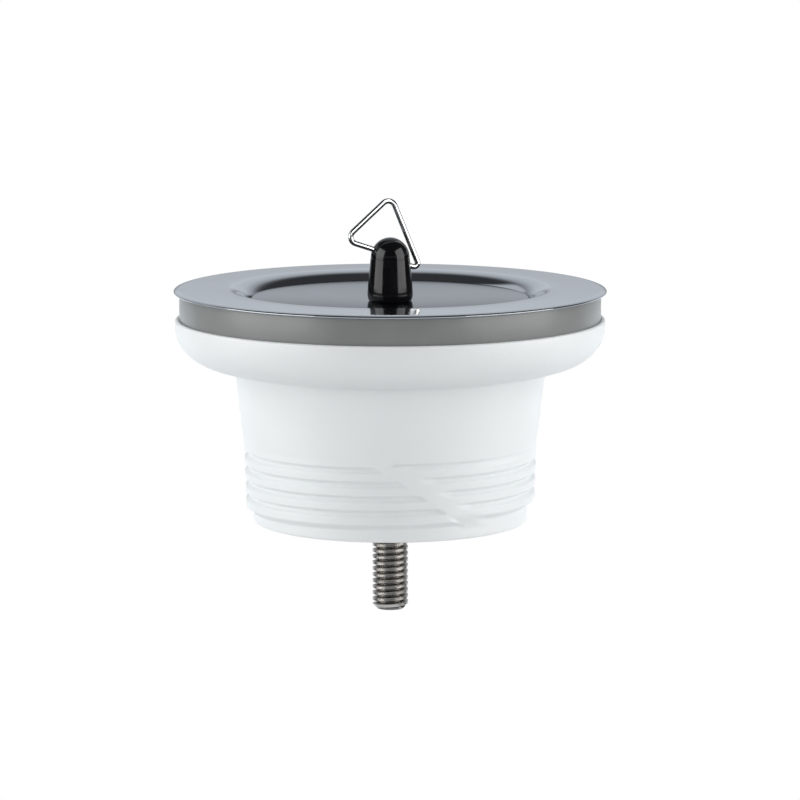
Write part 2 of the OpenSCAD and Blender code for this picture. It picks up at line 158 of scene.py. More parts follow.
class BodySettings(bpy.types.PropertyGroup):
    """Sizes of the moulded body and its thread."""
    wall: FloatProperty(
        name="Wall", description="Thickness of the moulded wall",
        default=2.2 * MM, unit="LENGTH")
    bowl_straight: FloatProperty(
        name="Bowl straight", description="Upright height of the bowl's outer wall",
        default=0.8 * MM, unit="LENGTH")
    bowl_round: FloatProperty(
        name="Bowl rounding", description="Width of the bowl's rounded side",
        default=8 * MM, unit="LENGTH")
    bowl_height: FloatProperty(
        name="Bowl height", description="Height of the bowl below the gasket",
        default=7.3 * MM, unit="LENGTH")
    lip_height: FloatProperty(
        name="Lip height", description="Height of the lip around the gasket's foot",
        default=0.35 * MM, unit="LENGTH")
    lip_width: FloatProperty(
        name="Lip width", description="Width of the lip around the gasket's foot",
        default=0.6 * MM, unit="LENGTH")
    throat_radius: FloatProperty(
        name="Throat radius", description="Radius of the corner between bowl and tail",
        default=1 * MM, unit="LENGTH")
    tail_radius: FloatProperty(
        name="Tail radius", description="Radius of the tail just below the bowl",
        default=25.15 * MM, unit="LENGTH")
    tail_bulge: FloatProperty(
        name="Tail bulge", description="How far the tail swells past a straight taper",
        default=0.1 * MM, unit="LENGTH")
    tail_length: FloatProperty(
        name="Tail length", description="Length of the smooth tail above the thread",
        default=12.4 * MM, unit="LENGTH")
    neck_radius: FloatProperty(
        name="Neck radius", description="Radius of the plain neck below the thread",
        default=22.2 * MM, unit="LENGTH")
    neck_plain: FloatProperty(
        name="Plain neck", description="Height of the neck that the thread's end never reaches",
        default=1.2 * MM, unit="LENGTH")
    edge_radius: FloatProperty(
        name="Edge radius", description="Radius of the neck's lower outer edge",
        default=0.5 * MM, unit="LENGTH")
    bore_chamfer: FloatProperty(
        name="Bore chamfer", description="Chamfer of the neck's lower inner edge",
        default=0.3 * MM, unit="LENGTH")
    thread_radius: FloatProperty(
        name="Thread radius", description="Radius of the thread's crest at its top",
        default=23.75 * MM, unit="LENGTH")
    thread_taper: FloatProperty(
        name="Thread taper", description="How far the crest falls in over the thread",
        default=0.28 * MM, unit="LENGTH")
    thread_depth: FloatProperty(
        name="Groove depth", description="Depth of the thread's grooves",
        default=0.6 * MM, unit="LENGTH")
    groove_width: FloatProperty(
        name="Groove width", description="Width of a groove at the crest",
        default=1.35 * MM, unit="LENGTH")
    pitch: FloatProperty(
        name="Pitch", description="Rise of the thread for each turn",
        default=2.309 * MM, unit="LENGTH")
    groove_top: FloatProperty(
        name="First groove", description="Height of the topmost groove at the front",
        default=-25.6 * MM, unit="LENGTH")
    groove_count: IntProperty(
        name="Grooves", description="Number of grooves above the thread's lower end", default=4)
    groove_slope: FloatProperty(
        name="Groove slope", description="How steep a groove's sides are, 1 being a round groove",
        default=1.25)
    last_ridge: FloatProperty(
        name="Last ridge", description="Part of the pitch that is left below the lowest groove",
        default=0.45, subtype="FACTOR")
    start_turn: FloatProperty(
        name="Start turn", description="Turn over which the lowest groove starts, from the back",
        default=radians(60), unit="ROTATION", subtype="ANGLE")
    end_turn: FloatProperty(
        name="End turn", description="Turn over which the topmost groove fades, from the front",
        default=radians(90), unit="ROTATION", subtype="ANGLE")
    step_height: FloatProperty(
        name="Step height", description="Height over which the thread ends at the neck",
        default=1.2 * MM, unit="LENGTH")
    break_turn: FloatProperty(
        name="Break turn", description="Turn of the break's left side from the front, at its top",
        default=radians(-9.5), unit="ROTATION", subtype="ANGLE")
    break_width: FloatProperty(
        name="Break width", description="Width of the slanting break across the thread",
        default=radians(18), unit="ROTATION", subtype="ANGLE")
    break_start: FloatProperty(
        name="Break start", description="Turn over which the ridges end at the break's left side",
        default=radians(3), unit="ROTATION", subtype="ANGLE")
    break_end: FloatProperty(
        name="Break end", description="Turn over which the ridges start at its right side",
        default=radians(8), unit="ROTATION", subtype="ANGLE")
    break_top: FloatProperty(
        name="Break top", description="How far below the thread's top the break starts",
        default=0.3 * MM, unit="LENGTH")
    break_fade: FloatProperty(
        name="Break fade", description="Height over which the break reaches its depth",
        default=0.5 * MM, unit="LENGTH")
    break_fall: FloatProperty(
        name="Break fall", description="Height over which the break runs out to the neck",
        default=3 * MM, unit="LENGTH")
    break_slant: FloatProperty(
        name="Break slant", description="How far the break runs to the right over the thread",
        default=radians(33), unit="ROTATION", subtype="ANGLE")
    break_jog: FloatProperty(
        name="Break jog", description="How much higher the grooves start right of the break",
        default=0.45 * MM, unit="LENGTH")
    jog_turn: FloatProperty(
        name="Jog turn", description="Turn over which most of that extra height is lost",
        default=radians(45), unit="ROTATION", subtype="ANGLE")


class SpiderSettings(bpy.types.PropertyGroup):
    """Sizes of the ribs and the hub inside the body."""
    rib_count: IntProperty(
        name="Ribs", description="Number of ribs that carry the hub", default=4, min=2)
    rib_thickness: FloatProperty(
        name="Rib thickness", description="Thickness of a rib",
        default=2 * MM, unit="LENGTH")
    rib_drop: FloatProperty(
        name="Rib drop", description="How much lower a rib's top is at the wall",
        default=2.5 * MM, unit="LENGTH")
    rib_root: FloatProperty(
        name="Rib root", description="How deep a rib runs into the hub",
        default=1 * MM, unit="LENGTH")
    rib_edge: FloatProperty(
        name="Rib edge", description="Radius of a rib's edges",
        default=0.25 * MM, unit="LENGTH")
    hub_height: FloatProperty(
        name="Hub height", description="Height of the hub", default=10 * MM, unit="LENGTH")
    hub_radius: FloatProperty(
        name="Hub radius", description="Radius of the hub", default=7.6 * MM, unit="LENGTH")
    hub_edge: FloatProperty(
        name="Hub edge", description="Radius of the hub's outer edges",
        default=0.3 * MM, unit="LENGTH")
    hole_edge: FloatProperty(
        name="Hole edge", description="Radius of the edge at the top of the screw's hole",
        default=0.2 * MM, unit="LENGTH")


class FastenerSettings(bpy.types.PropertyGroup):
    """Sizes of the clamp screw and its nut."""
    screw_radius: FloatProperty(
        name="Screw radius", description="Radius of the thread's crest",
        default=2.9 * MM, unit="LENGTH")
    screw_pitch: FloatProperty(
        name="Screw pitch", description="Rise of the screw's thread for each turn",
        default=1 * MM, unit="LENGTH")
    thread_depth: FloatProperty(
        name="Thread depth", description="Depth of the screw's thread",
        default=0.6 * MM, unit="LENGTH")
    crest_wear: FloatProperty(
        name="Crest wear", description="How far the edges of the thread's crest are worn down",
        default=0.04 * MM, unit="LENGTH")
    end_chamfer: FloatProperty(
        name="End chamfer", description="How far inside the thread's root the screw's end is",
        default=0.15 * MM, unit="LENGTH")
    hole_radius: FloatProperty(
        name="Hole radius", description="Radius of the screw's holes in the cup and the hub",
        default=3.2 * MM, unit="LENGTH")
    head_height: FloatProperty(
        name="Head height", description="Height of the screw's head",
        default=2.4 * MM, unit="LENGTH")
    head_edge: FloatProperty(
        name="Head edge", description="Chamfer under the screw's head",
        default=0.15 * MM, unit="LENGTH")
    slot_width: FloatProperty(
        name="Slot width", description="Width of the slot in the head",
        default=1.4 * MM, unit="LENGTH")
    slot_depth: FloatProperty(
        name="Slot depth", description="Depth of the slot in the head",
        default=1.2 * MM, unit="LENGTH")
    nut_flats: FloatProperty(
        name="Nut flats", description="Width of the nut across its flats",
        default=10 * MM, unit="LENGTH")
    nut_chamfer: FloatProperty(
        name="Nut chamfer", description="Chamfer of the nut's corners",
        default=0.45 * MM, unit="LENGTH")
    nut_play: FloatProperty(
        name="Nut play", description="How much wider than the nut its pocket is",
        default=0.1 * MM, unit="LENGTH")
    clearance: FloatProperty(
        name="Clearance", description="Clearance of the screw in the nut",
        default=0.05 * MM, unit="LENGTH")


class PlugSettings(bpy.types.PropertyGroup):
    """Sizes of the rubber plug and its steel cover."""
    cover_sheet: FloatProperty(
        name="Cover sheet", description="Thickness of the cover",
        default=0.5 * MM, unit="LENGTH")
    cover_drop: FloatProperty(
        name="Cover drop", description="How far the cover's edge lies below its highest point",
        default=0.55 * MM, unit="LENGTH")
    cover_dish: FloatProperty(
        name="Cover dish", description="Depth of the shallow dish inside the cover's edge",
        default=0.7 * MM, unit="LENGTH")
    cover_edge: FloatProperty(
        name="Cover edge", description="Radius of the cover's outer edge",
        default=0.4 * MM, unit="LENGTH")
    cover_chamfer: FloatProperty(
        name="Cover chamfer", description="Chamfer at the foot of the cover's turned-down edge",
        default=0.1 * MM, unit="LENGTH")
    seal_wall: FloatProperty(
        name="Seal wall", description="Width of the rubber rim around the hollow underside",
        default=3.2 * MM, unit="LENGTH")
    seal_edge_height: FloatProperty(
        name="Seal edge height", description="Height of the chamfer at the seal's foot",
        default=0.5 * MM, unit="LENGTH")
    seal_edge_width: FloatProperty(
        name="Seal edge width", description="Width of the chamfer at the seal's foot",
        default=0.3 * MM, unit="LENGTH")
    hollow_edge: FloatProperty(
        name="Hollow edge", description="Chamfer at the top of the hollow underside",
        default=0.6 * MM, unit="LENGTH")
    web: FloatProperty(
        name="Web", description="Thickness of the rubber under the cover",
        default=2.4 * MM, unit="LENGTH")
    neck_radius: FloatProperty(
        name="Neck radius", description="Radius of the rubber neck through the cover",
        default=2.5 * MM, unit="LENGTH")
    base_radius: FloatProperty(
        name="Stem base", description="Radius of the stem at the cover",
        default=3.7 * MM, unit="LENGTH")
    shoulder_radius: FloatProperty(
        name="Stem shoulder", description="Radius of the stem at its shoulder",
        default=3.2 * MM, unit="LENGTH")
    shoulder_step: FloatProperty(
        name="Shoulder step", description="Width of the slight step at the shoulder",
        default=0.04 * MM, unit="LENGTH")
    foot_radius: FloatProperty(
        name="Stem foot", description="Radius at which the stem stands on the cover",
        default=3.3 * MM, unit="LENGTH")
    foot_height: FloatProperty(
        name="Foot height", description="Height over which the stem curves in to its foot",
        default=1.25 * MM, unit="LENGTH")
    dome_height: FloatProperty(
        name="Dome height", description="Height of the rounded top above the shoulder",
        default=3.35 * MM, unit="LENGTH")


class RingSettings(bpy.types.PropertyGroup):
    """Sizes of the bent wire ring. Distances along the bar are from the stem's middle."""
    wire_radius: FloatProperty(
        name="Wire radius", description="Radius of the wire", default=0.45 * MM, unit="LENGTH")
    bend_radius: FloatProperty(
        name="Bend radius", description="Radius of the upper bends, at the wire's middle",
        default=1.15 * MM, unit="LENGTH")
    bar_bend_radius: FloatProperty(
        name="Bar bend radius", description="Radius of the bends beside the stem",
        default=0.6 * MM, unit="LENGTH")
    bar_left: FloatProperty(
        name="Bar left", description="Distance of the bar's left-hand bend",
        default=3.35 * MM, unit="LENGTH")
    bar_right: FloatProperty(
        name="Bar right", description="Distance of the bar's right-hand corner",
        default=5.55 * MM, unit="LENGTH")
    arm_length: FloatProperty(
        name="Arm length", description="Length from the left-hand bend to the left-hand corner",
        default=4.75 * MM, unit="LENGTH")
    arm_bend: FloatProperty(
        name="Arm bend", description="Angle between that arm and the bar's line",
        default=radians(5.6), unit="ROTATION", subtype="ANGLE")
    apex_height: FloatProperty(
        name="Apex height", description="Height of the apex, square to the bar",
        default=9.05 * MM, unit="LENGTH")
    apex_left: FloatProperty(
        name="Apex left", description="Distance of the apex along the bar, to the left",
        default=3.95 * MM, unit="LENGTH")
    wire_gap: FloatProperty(
        name="Wire gap", description="Gap between the wire's ends inside the stem",
        default=0.4 * MM, unit="LENGTH")
    clearance: FloatProperty(
        name="Clearance", description="Clearance of the wire in the stem",
        default=0.05 * MM, unit="LENGTH")


class FinishSettings(bpy.types.PropertyGroup):
    """Colours and polish of the finishes."""
    steel: FloatVectorProperty(
        name="Steel", description="Polished steel of the rim and cup",
        subtype="COLOR", size=3, default=(0.60, 0.615, 0.63))
    steel_roughness: FloatProperty(
        name="Steel roughness", description="Least roughness of the rim and cup",
        default=0.05, subtype="FACTOR")
    steel_spread: FloatProperty(
        name="Steel spread", description="How much rougher the polishing marks of the rim are",
        default=0.05, subtype="FACTOR")
    cover: FloatVectorProperty(
        name="Cover steel", description="Polished steel of the plug's cover",
        subtype="COLOR", size=3, default=(0.50, 0.515, 0.54))
    cover_roughness: FloatProperty(
        name="Cover roughness", description="Least roughness of the plug's cover",
        default=0.1, subtype="FACTOR")
    cover_spread: FloatProperty(
        name="Cover spread", description="How much rougher the polishing marks of the cover are",
        default=0.06, subtype="FACTOR")
    cover_glance: FloatProperty(
        name="Cover glance", description="Brightness of the cover when seen at a flat angle",
        default=0.75, subtype="FACTOR")
    plastic: FloatVectorProperty(
        name="White plastic", description="Moulded body",
        subtype="COLOR", size=3, default=(0.80, 0.828, 0.833))
    gasket: FloatVectorProperty(
        name="Grey rubber", description="Gasket",
        subtype="COLOR", size=3, default=(0.21, 0.22, 0.215))
    rubber: FloatVectorProperty(
        name="Black rubber", description="Plug and stem",
        subtype="COLOR", size=3, default=(0.003, 0.003, 0.0035))
    wire: FloatVectorProperty(
        name="Wire", description="Bright wire of the ring",
        subtype="COLOR", size=3, default=(0.78, 0.78, 0.77))
    screw: FloatVectorProperty(
        name="Screw", description="Plain steel of the clamp screw",
        subtype="COLOR", size=3, default=(0.60, 0.565, 0.52))
    brass: FloatVectorProperty(
        name="Brass", description="Nut in the hub",
        subtype="COLOR", size=3, default=(0.72, 0.52, 0.25))


class StageSettings(bpy.types.PropertyGroup):
    """The camera, the lights and the floor."""
    camera_side: FloatProperty(
        name="Camera side", description="How far the camera stands to the right",
        default=1.59 * MM, unit="LENGTH")
    camera_distance: FloatProperty(
        name="Camera distance", description="How far the camera stands in front",
        default=0.7, unit="LENGTH")
    camera_height: FloatProperty(
        name="Camera height", description="Height of the camera",
        default=86.2 * MM, unit="LENGTH")
    camera_pitch: FloatProperty(
        name="Camera pitch", description="Angle at which the camera looks down",
        default=radians(8.45), unit="ROTATION", subtype="ANGLE")
    lens: FloatProperty(
        name="Lens", description="Focal length of the camera, in millimetres", default=196.16)
    floor_size: FloatProperty(
        name="Floor size", description="Half the width of the floor", default=4, unit="LENGTH")
    floor_bounce: FloatProperty(
        name="Floor bounce", description="Light that the floor throws back at the object",
        default=0.68)
    box_strength: FloatProperty(
        name="Softbox strength", description="Power of each mirrored softbox", default=5.5,
        unit="POWER")
    tall_box_strength: FloatProperty(
        name="Tall softbox strength", description="Power of each softbox mirrored in the stem",
        default=11, unit="POWER")
    box_turn: FloatProperty(
        name="Softbox turn", description="Turn of a softbox from the camera's side",
        default=radians(67), unit="ROTATION", subtype="ANGLE")
    box_distance: FloatProperty(
        name="Softbox distance", description="Distance of a softbox", default=1.1, unit="LENGTH")
    box_width: FloatProperty(
        name="Softbox width", description="Width of a softbox", default=1.15, unit="LENGTH")
    box_height: FloatProperty(
        name="Softbox height", description="Height of a mirrored softbox", default=0.4,
        unit="LENGTH")
    box_middle: FloatProperty(
        name="Softbox middle", description="Height at which a mirrored softbox hangs",
        default=0.05, unit="LENGTH")
    tall_box_height: FloatProperty(
        name="Tall softbox height", description="Height of a softbox mirrored in the stem",
        default=1.04, unit="LENGTH")
    tall_box_middle: FloatProperty(
        name="Tall softbox middle", description="Height at which a tall softbox hangs",
        default=0.4, unit="LENGTH")
    side_strength: FloatProperty(
        name="Side strength", description="Power of each soft light at the sides", default=10.5,
        unit="POWER")
    fill_strength: FloatProperty(
        name="Fill strength", description="Power of the soft light in front", default=5,
        unit="POWER")
    top_strength: FloatProperty(
        name="Top strength", description="Power of the soft overhead light", default=8,
        unit="POWER")
    sparkle_strength: FloatProperty(
        name="Sparkle strength", description="Power of the light that only the wire mirrors",
        default=14, unit="POWER")
    glow_colour: FloatVectorProperty(
        name="Glow colour", description="Tint of the glow that polished faces mirror",
        subtype="COLOR", size=3, default=(0.97, 1.03, 1.11))


class PlugWasteSettings(bpy.types.PropertyGroup):
    """Everything that can be set."""
    flange: PointerProperty(type=FlangeSettings, name="Flange", description="Steel flange")
    gasket: PointerProperty(type=GasketSettings, name="Gasket", description="Gasket")
    body: PointerProperty(type=BodySettings, name="Body", description="Moulded body")
    spider: PointerProperty(type=SpiderSettings, name="Spider", description="Ribs and hub")
    fastener: PointerProperty(
        type=FastenerSettings, name="Fastener", description="Screw and nut")
    plug: PointerProperty(type=PlugSettings, name="Plug", description="Plug and cover")
    ring: PointerProperty(type=RingSettings, name="Ring", description="Pull ring")
    finish: PointerProperty(type=FinishSettings, name="Finish", description="Colours")
    stage: PointerProperty(type=StageSettings, name="Stage", description="Studio")


# Outlines

def arc(centre, radius, start, end, steps=8):
    """Points on an arc, its angles in degrees. The radius may be a pair, for an oval."""
    across, up = radius if isinstance(radius, tuple) else (radius, radius)
    turns = [radians(start + (end - start) * i / steps) for i in range(steps + 1)]
    return [(centre[0] + across * cos(a), centre[1] + up * sin(a)) for a in turns]


def line(start, end, steps):
    """Evenly spaced points from start towards end, which is left off."""
    return [tuple(Vector(start).lerp(Vector(end), i / steps)) for i in range(steps)]


def rounded(corners, steps=6):
    """Points of a closed outline whose corners are (radius, height, rounding)."""
    points = []
    for i, (across, up, rounding) in enumerate(corners):
        corner = Vector((across, up))
        if rounding == 0:
            points.append(tuple(corner))
            continue
        back = (Vector(corners[i - 1][:2]) - corner).normalized()
        ahead = (Vector(corners[(i + 1) % len(corners)][:2]) - corner).normalized()
        half = back.angle(ahead) / 2
        centre = corner + (back + ahead).normalized() * rounding / sin(half)
        start = corner + back * rounding / tan(half) - centre
        end = corner + ahead * rounding / tan(half) - centre
        first = atan2(start.y, start.x)
        turn = (atan2(end.y, end.x) - first + pi) % (2 * pi) - pi
        points += arc(centre, rounding, degrees(first), degrees(first + turn), steps)
    return points


def smooth(value):
    """Eases from 0 to 1 as the value does."""
    share = min(1.0, max(0.0, value))
    return share * share * (3 - 2 * share)


# Meshes

def spun(outline, steps, closed=True):
    """A skin spun round the upright axis from an outline."""
    bm = bmesh.new()
    verts = [bm.verts.new((across, 0, up)) for across, up in outline]
    ends = verts[1:] + verts[:1] if closed else verts[1:]
    edges = [bm.edges.new(pair) for pair in zip(verts, ends)]
    bmesh.ops.spin(
        bm, geom=verts + edges, cent=(0, 0, 0), axis=(0, 0, 1), angle=2 * pi, steps=steps,
        use_merge=True)
    bmesh.ops.remove_doubles(bm, verts=bm.verts, dist=1e-7)
    bmesh.ops.recalc_face_normals(bm, faces=bm.faces)
    return bm


def rod(radius, length, centre, way=(0, 0, 1), segments=48):
    """A closed rod of that length through a point."""
    bm = bmesh.new()
    turn = Vector((0, 0, 1)).rotation_difference(Vector(way)).to_matrix().to_4x4()
    bmesh.ops.create_cone(
        bm, cap_ends=True, segments=segments, radius1=radius, radius2=radius, depth=length,
        matrix=Matrix.Translation(centre) @ turn)
    return bm


def hexagon(flats, low, high):
    """A closed hexagonal block, its flats towards the sides."""
    bm = rod(flats / 2 / cos(pi / 6), high - low, (0, 0, (low + high) / 2), segments=6)
    bmesh.ops.rotate(bm, verts=bm.verts, cent=(0, 0, 0), matrix=Matrix.Rotation(pi / 6, 3, "Z"))
    return bm


def softened(bm, edges, width, segments=2):
    """Bevels edges to a small rounding."""
    bmesh.ops.bevel(
        bm, geom=edges, offset=width, offset_type="OFFSET", segments=segments, profile=0.5,
        affect="EDGES", material=-1, clamp_overlap=True)
    return bm


def sharp_edges(bm, angle=radians(40)):
    """Edges at which the faces turn by more than an angle."""
    return [e for e in bm.edges if len(e.link_faces) == 2 and e.calc_face_angle() > angle]


def joined(*parts):
    """One bmesh that holds several."""
    whole = bmesh.new()
    for part in parts:
        mesh = bpy.data.meshes.new("part")
        part.to_mesh(mesh)
        part.free()
        whole.from_mesh(mesh)
        bpy.data.meshes.remove(mesh)
    return whole


def object_from(name, bm):
    """An object at the origin that holds the mesh."""
    mesh = bpy.data.meshes.new(name)
    bm.to_mesh(mesh)
    bm.free()
    made = bpy.data.objects.new(name, mesh)
    bpy.context.scene.collection.objects.link(made)
    return made


def combined(bm, tool, operation="DIFFERENCE"):
    """The mesh after a Boolean with a tool."""
    piece = object_from("piece", bm)
    cutter = object_from("cutter", tool)
    boolean = piece.modifiers.new("combine", "BOOLEAN")
    boolean.operation = operation
    boolean.solver = "EXACT"
    boolean.object = cutter
    graph = bpy.context.evaluated_depsgraph_get()
    made = bmesh.new()
    made.from_object(piece, graph)
    for spent in (piece, cutter):
        mesh = spent.data
        bpy.data.objects.remove(spent)
        bpy.data.meshes.remove(mesh)
    bmesh.ops.remove_doubles(made, verts=made.verts, dist=1e-7)
    return made


def placed(name, bm, finish, body, node, crease=radians(35)):
    """Makes a piece, gives it its finish, ties it to its body and hides the node it stands for."""
    piece = object_from(name, bm)
    piece.data.shade_smooth()
    piece.data.set_sharp_from_angle(angle=crease)
    piece.data.materials.append(finish)
    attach(piece, body)
    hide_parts(node)
    return piece


# Finishes

def new_finish(name):
    """A material with its node tree, its shader and its Object coordinates."""
    material = bpy.data.materials.new(name)
    material.use_nodes = True
    tree = material.node_tree
    place = tree.nodes.new("ShaderNodeTexCoord")
    return material, tree, tree.nodes["Principled BSDF"], place.outputs["Object"]


def grain(tree, place, scale, low, high, detail=4):
    """Noise spread from low to high over the surface."""
    noise = tree.nodes.new("ShaderNodeTexNoise")
    noise.inputs["Scale"].default_value = scale
    noise.inputs["Detail"].default_value = detail
    tree.links.new(place, noise.inputs["Vector"])
    return spread(tree, noise.outputs["Fac"], 0.3, 0.7, low, high)


def spread(tree, value, from_low, from_high, low, high):
    """A value moved from one range to another."""
    node = tree.nodes.new("ShaderNodeMapRange")
    node.inputs["From Min"].default_value = from_low
    node.inputs["From Max"].default_value = from_high
    node.inputs["To Min"].default_value = low
    node.inputs["To Max"].default_value = high
    tree.links.new(value, node.inputs["Value"])
    return node.outputs["Result"]


def across_axis(tree, place):
    """Distance of the surface from the upright axis."""
    flat = tree.nodes.new("ShaderNodeVectorMath")
    flat.operation = "MULTIPLY"
    flat.inputs[1].default_value = (1, 1, 0)
    tree.links.new(place, flat.inputs[0])
    length = tree.nodes.new("ShaderNodeVectorMath")
    length.operation = "LENGTH"
    tree.links.new(flat.outputs["Vector"], length.inputs[0])
    return length.outputs["Value"]


def rings(tree, distance, scale, low, high):
    """Fine rings round the axis, as polishing leaves them."""
    noise = tree.nodes.new("ShaderNodeTexNoise")
    noise.noise_dimensions = "1D"
    noise.inputs["Scale"].default_value = scale
    noise.inputs["Detail"].default_value = 3
    tree.links.new(distance, noise.inputs["W"])
    return spread(tree, noise.outputs["Fac"], 0.3, 0.7, low, high)


def blend(tree, share, first, second):
    """A colour between two, by a share."""
    mix = tree.nodes.new("ShaderNodeMix")
    mix.data_type = "RGBA"
    low, high = (socket for socket in mix.inputs if socket.type == "RGBA")
    low.default_value = (*first, 1)
    high.default_value = (*second, 1)
    tree.links.new(share, mix.inputs["Factor"])
    return next(socket for socket in mix.outputs if socket.type == "RGBA")


def computed(tree, operation, *values):
    """A sum or another simple result of values, each a socket or a number."""
    node = tree.nodes.new("ShaderNodeMath")
    node.operation = operation
    for socket, value in zip(node.inputs, values):
        if isinstance(value, (int, float)):
            socket.default_value = value
        else:
            tree.links.new(value, socket)
    return node.outputs["Value"]


def toned(tree, shader, share, first, second):
    """Lets the surface's colour wander between two."""
    tree.links.new(blend(tree, share, first, second), shader.inputs["Base Color"])


def roughened(tree, shader, place, scale, low, high, detail=4):
    """Lets the surface's roughness wander between two values."""
    tree.links.new(grain(tree, place, scale, low, high, detail), shader.inputs["Roughness"])


def bumped(tree, shader, height, distance):
    """Gives the surface a relief of that height."""
    bump = tree.nodes.new("ShaderNodeBump")
    bump.inputs["Distance"].default_value = distance
    tree.links.new(height, bump.inputs["Height"])
    tree.links.new(bump.outputs["Normal"], shader.inputs["Normal"])


def shaded(colour, share):
    """A colour made darker or lighter by a share."""
    return tuple(channel * share for channel in colour)


def polished_steel(name, colour, roughness, marks, glance=1.0):
    """Pressed and polished steel with faint rings, smudges and a fine grain."""
    material, tree, shader, place = new_finish(name)
    shader.inputs["Metallic"].default_value = 1
    shader.inputs["Specular Tint"].default_value = (glance, glance, glance, 1)
    smudge = grain(tree, place, scale=70, low=0, high=1)
    toned(tree, shader, smudge, shaded(colour, 0.95), shaded(colour, 1.03))
    lines = rings(tree, across_axis(tree, place), scale=5200, low=roughness,
                  high=roughness + marks)
    tree.links.new(lines, shader.inputs["Roughness"])
    relief = computed(tree, "ADD", grain(tree, place, scale=900, low=0, high=0.5), lines)
    bumped(tree, shader, relief, distance=1.2e-6)
    return material


def white_plastic(colour):
    """Moulded plastic, satin, with a soft glow and a very fine texture."""
    material, tree, shader, place = new_finish("white_plastic")
    tone = grain(tree, place, scale=60, low=0, high=1)
    toned(tree, shader, tone, shaded(colour, 0.985), shaded(colour, 1.01))
    roughened(tree, shader, place, scale=300, low=0.34, high=0.46)
    shader.inputs["Subsurface Weight"].default_value = 0.15
    shader.inputs["Subsurface Radius"].default_value = (1, 0.9, 0.8)
    shader.inputs["Subsurface Scale"].default_value = 0.8 * MM
    bumped(tree, shader, grain(tree, place, scale=1400, low=0, high=1), distance=8e-6)
    return material


def grey_rubber(colour):
    """Matt rubber with a slight bloom."""
    material, tree, shader, place = new_finish("grey_rubber")
    tone = grain(tree, place, scale=150, low=0, high=1, detail=2)
    toned(tree, shader, tone, shaded(colour, 0.96), shaded(colour, 1.04))
    roughened(tree, shader, place, scale=300, low=0.28, high=0.34, detail=2)
    bumped(tree, shader, grain(tree, place, scale=1500, low=0, high=1), distance=2e-6)
    return material


def black_rubber(colour):
    """Glossy black rubber with soft unevenness."""
    material, tree, shader, place = new_finish("black_rubber")
    tone = grain(tree, place, scale=200, low=0, high=1)
    toned(tree, shader, tone, shaded(colour, 0.8), shaded(colour, 1.4))
    shader.inputs["Specular IOR Level"].default_value = 0.4
    roughened(tree, shader, place, scale=400, low=0.08, high=0.16)
    bumped(tree, shader, grain(tree, place, scale=700, low=0, high=1), distance=4e-6)
    return material


def bright_wire(colour):
    """Drawn bright wire."""
    material, tree, shader, place = new_finish("bright_wire")
    shader.inputs["Metallic"].default_value = 1
    tone = grain(tree, place, scale=600, low=0, high=1)
    toned(tree, shader, tone, shaded(colour, 0.9), colour)
    roughened(tree, shader, place, scale=1500, low=0.08, high=0.18)
    bumped(tree, shader, grain(tree, place, scale=2500, low=0, high=1), distance=2e-6)
    return material


def screw_steel(colour, root, crest):
    """Plain steel with shade painted into its thread, darker towards the roots."""
    material, tree, shader, place = new_finish("screw_steel")
    shader.inputs["Metallic"].default_value = 1
    # Painted shade: the colour darkens from the thread's crest down to its root
    height = spread(tree, across_axis(tree, place), root, crest, 0, 1)
    toned(tree, shader, height, shaded(colour, 0.35), colour)
    roughened(tree, shader, place, scale=900, low=0.2, high=0.36)
    bumped(tree, shader, grain(tree, place, scale=2600, low=0, high=1), distance=4e-6)
    return material


def dull_brass(colour):
    """Turned brass, a little dull."""
    material, tree, shader, place = new_finish("brass")
    shader.inputs["Metallic"].default_value = 1
    tone = grain(tree, place, scale=500, low=0, high=1)
    toned(tree, shader, tone, shaded(colour, 0.8), colour)
    roughened(tree, shader, place, scale=1200, low=0.22, high=0.4)
    bumped(tree, shader, grain(tree, place, scale=2400, low=0, high=1), distance=4e-6)
    return material


# Pieces

def rim_under(flange, across):
    """Height of the rim's underside at a distance from the axis."""
    rim_edge = reach_of("steel_flange") - flange.sheet / 2
    return (flange.sheet / 2 * (1 - 1 / cos(flange.rim_fall))
            + (rim_edge - across) * tan(flange.rim_fall))


def flange_face(flange, screw_hole, drop):
    """One face of the pressed sheet, from the lip to the screw's hole, drop below the top one."""
    lip_r = flange.lip_radius
    lip_across = flange.seat_radius + lip_r * cos(flange.seat_taper)
    lip_up = rim_under(flange, lip_across) - (lip_r - flange.sheet) / cos(flange.rim_fall)
    floor = foot_of("steel_flange") + flange.sheet + flange.dish_depth
    seat_top = lip_up + lip_r * sin(flange.seat_taper)
    corner = flange.corner_radius
    corner_across = flange.seat_radius + (
        sin(flange.seat_taper) * (floor + corner - seat_top) - corner) / cos(flange.seat_taper)
    fall, taper = degrees(flange.rim_fall), degrees(flange.seat_taper)
    return (
        arc((lip_across, lip_up), lip_r - drop, 90 - fall, 180 - taper, 28)
        + arc((corner_across, floor + corner), corner + drop, -taper, -90, 10)
        + [(flange.dish_radius + flange.dish_depth, floor - drop),
           (flange.dish_radius, floor - flange.dish_depth - drop),
           (screw_hole, floor - flange.dish_depth - drop)])


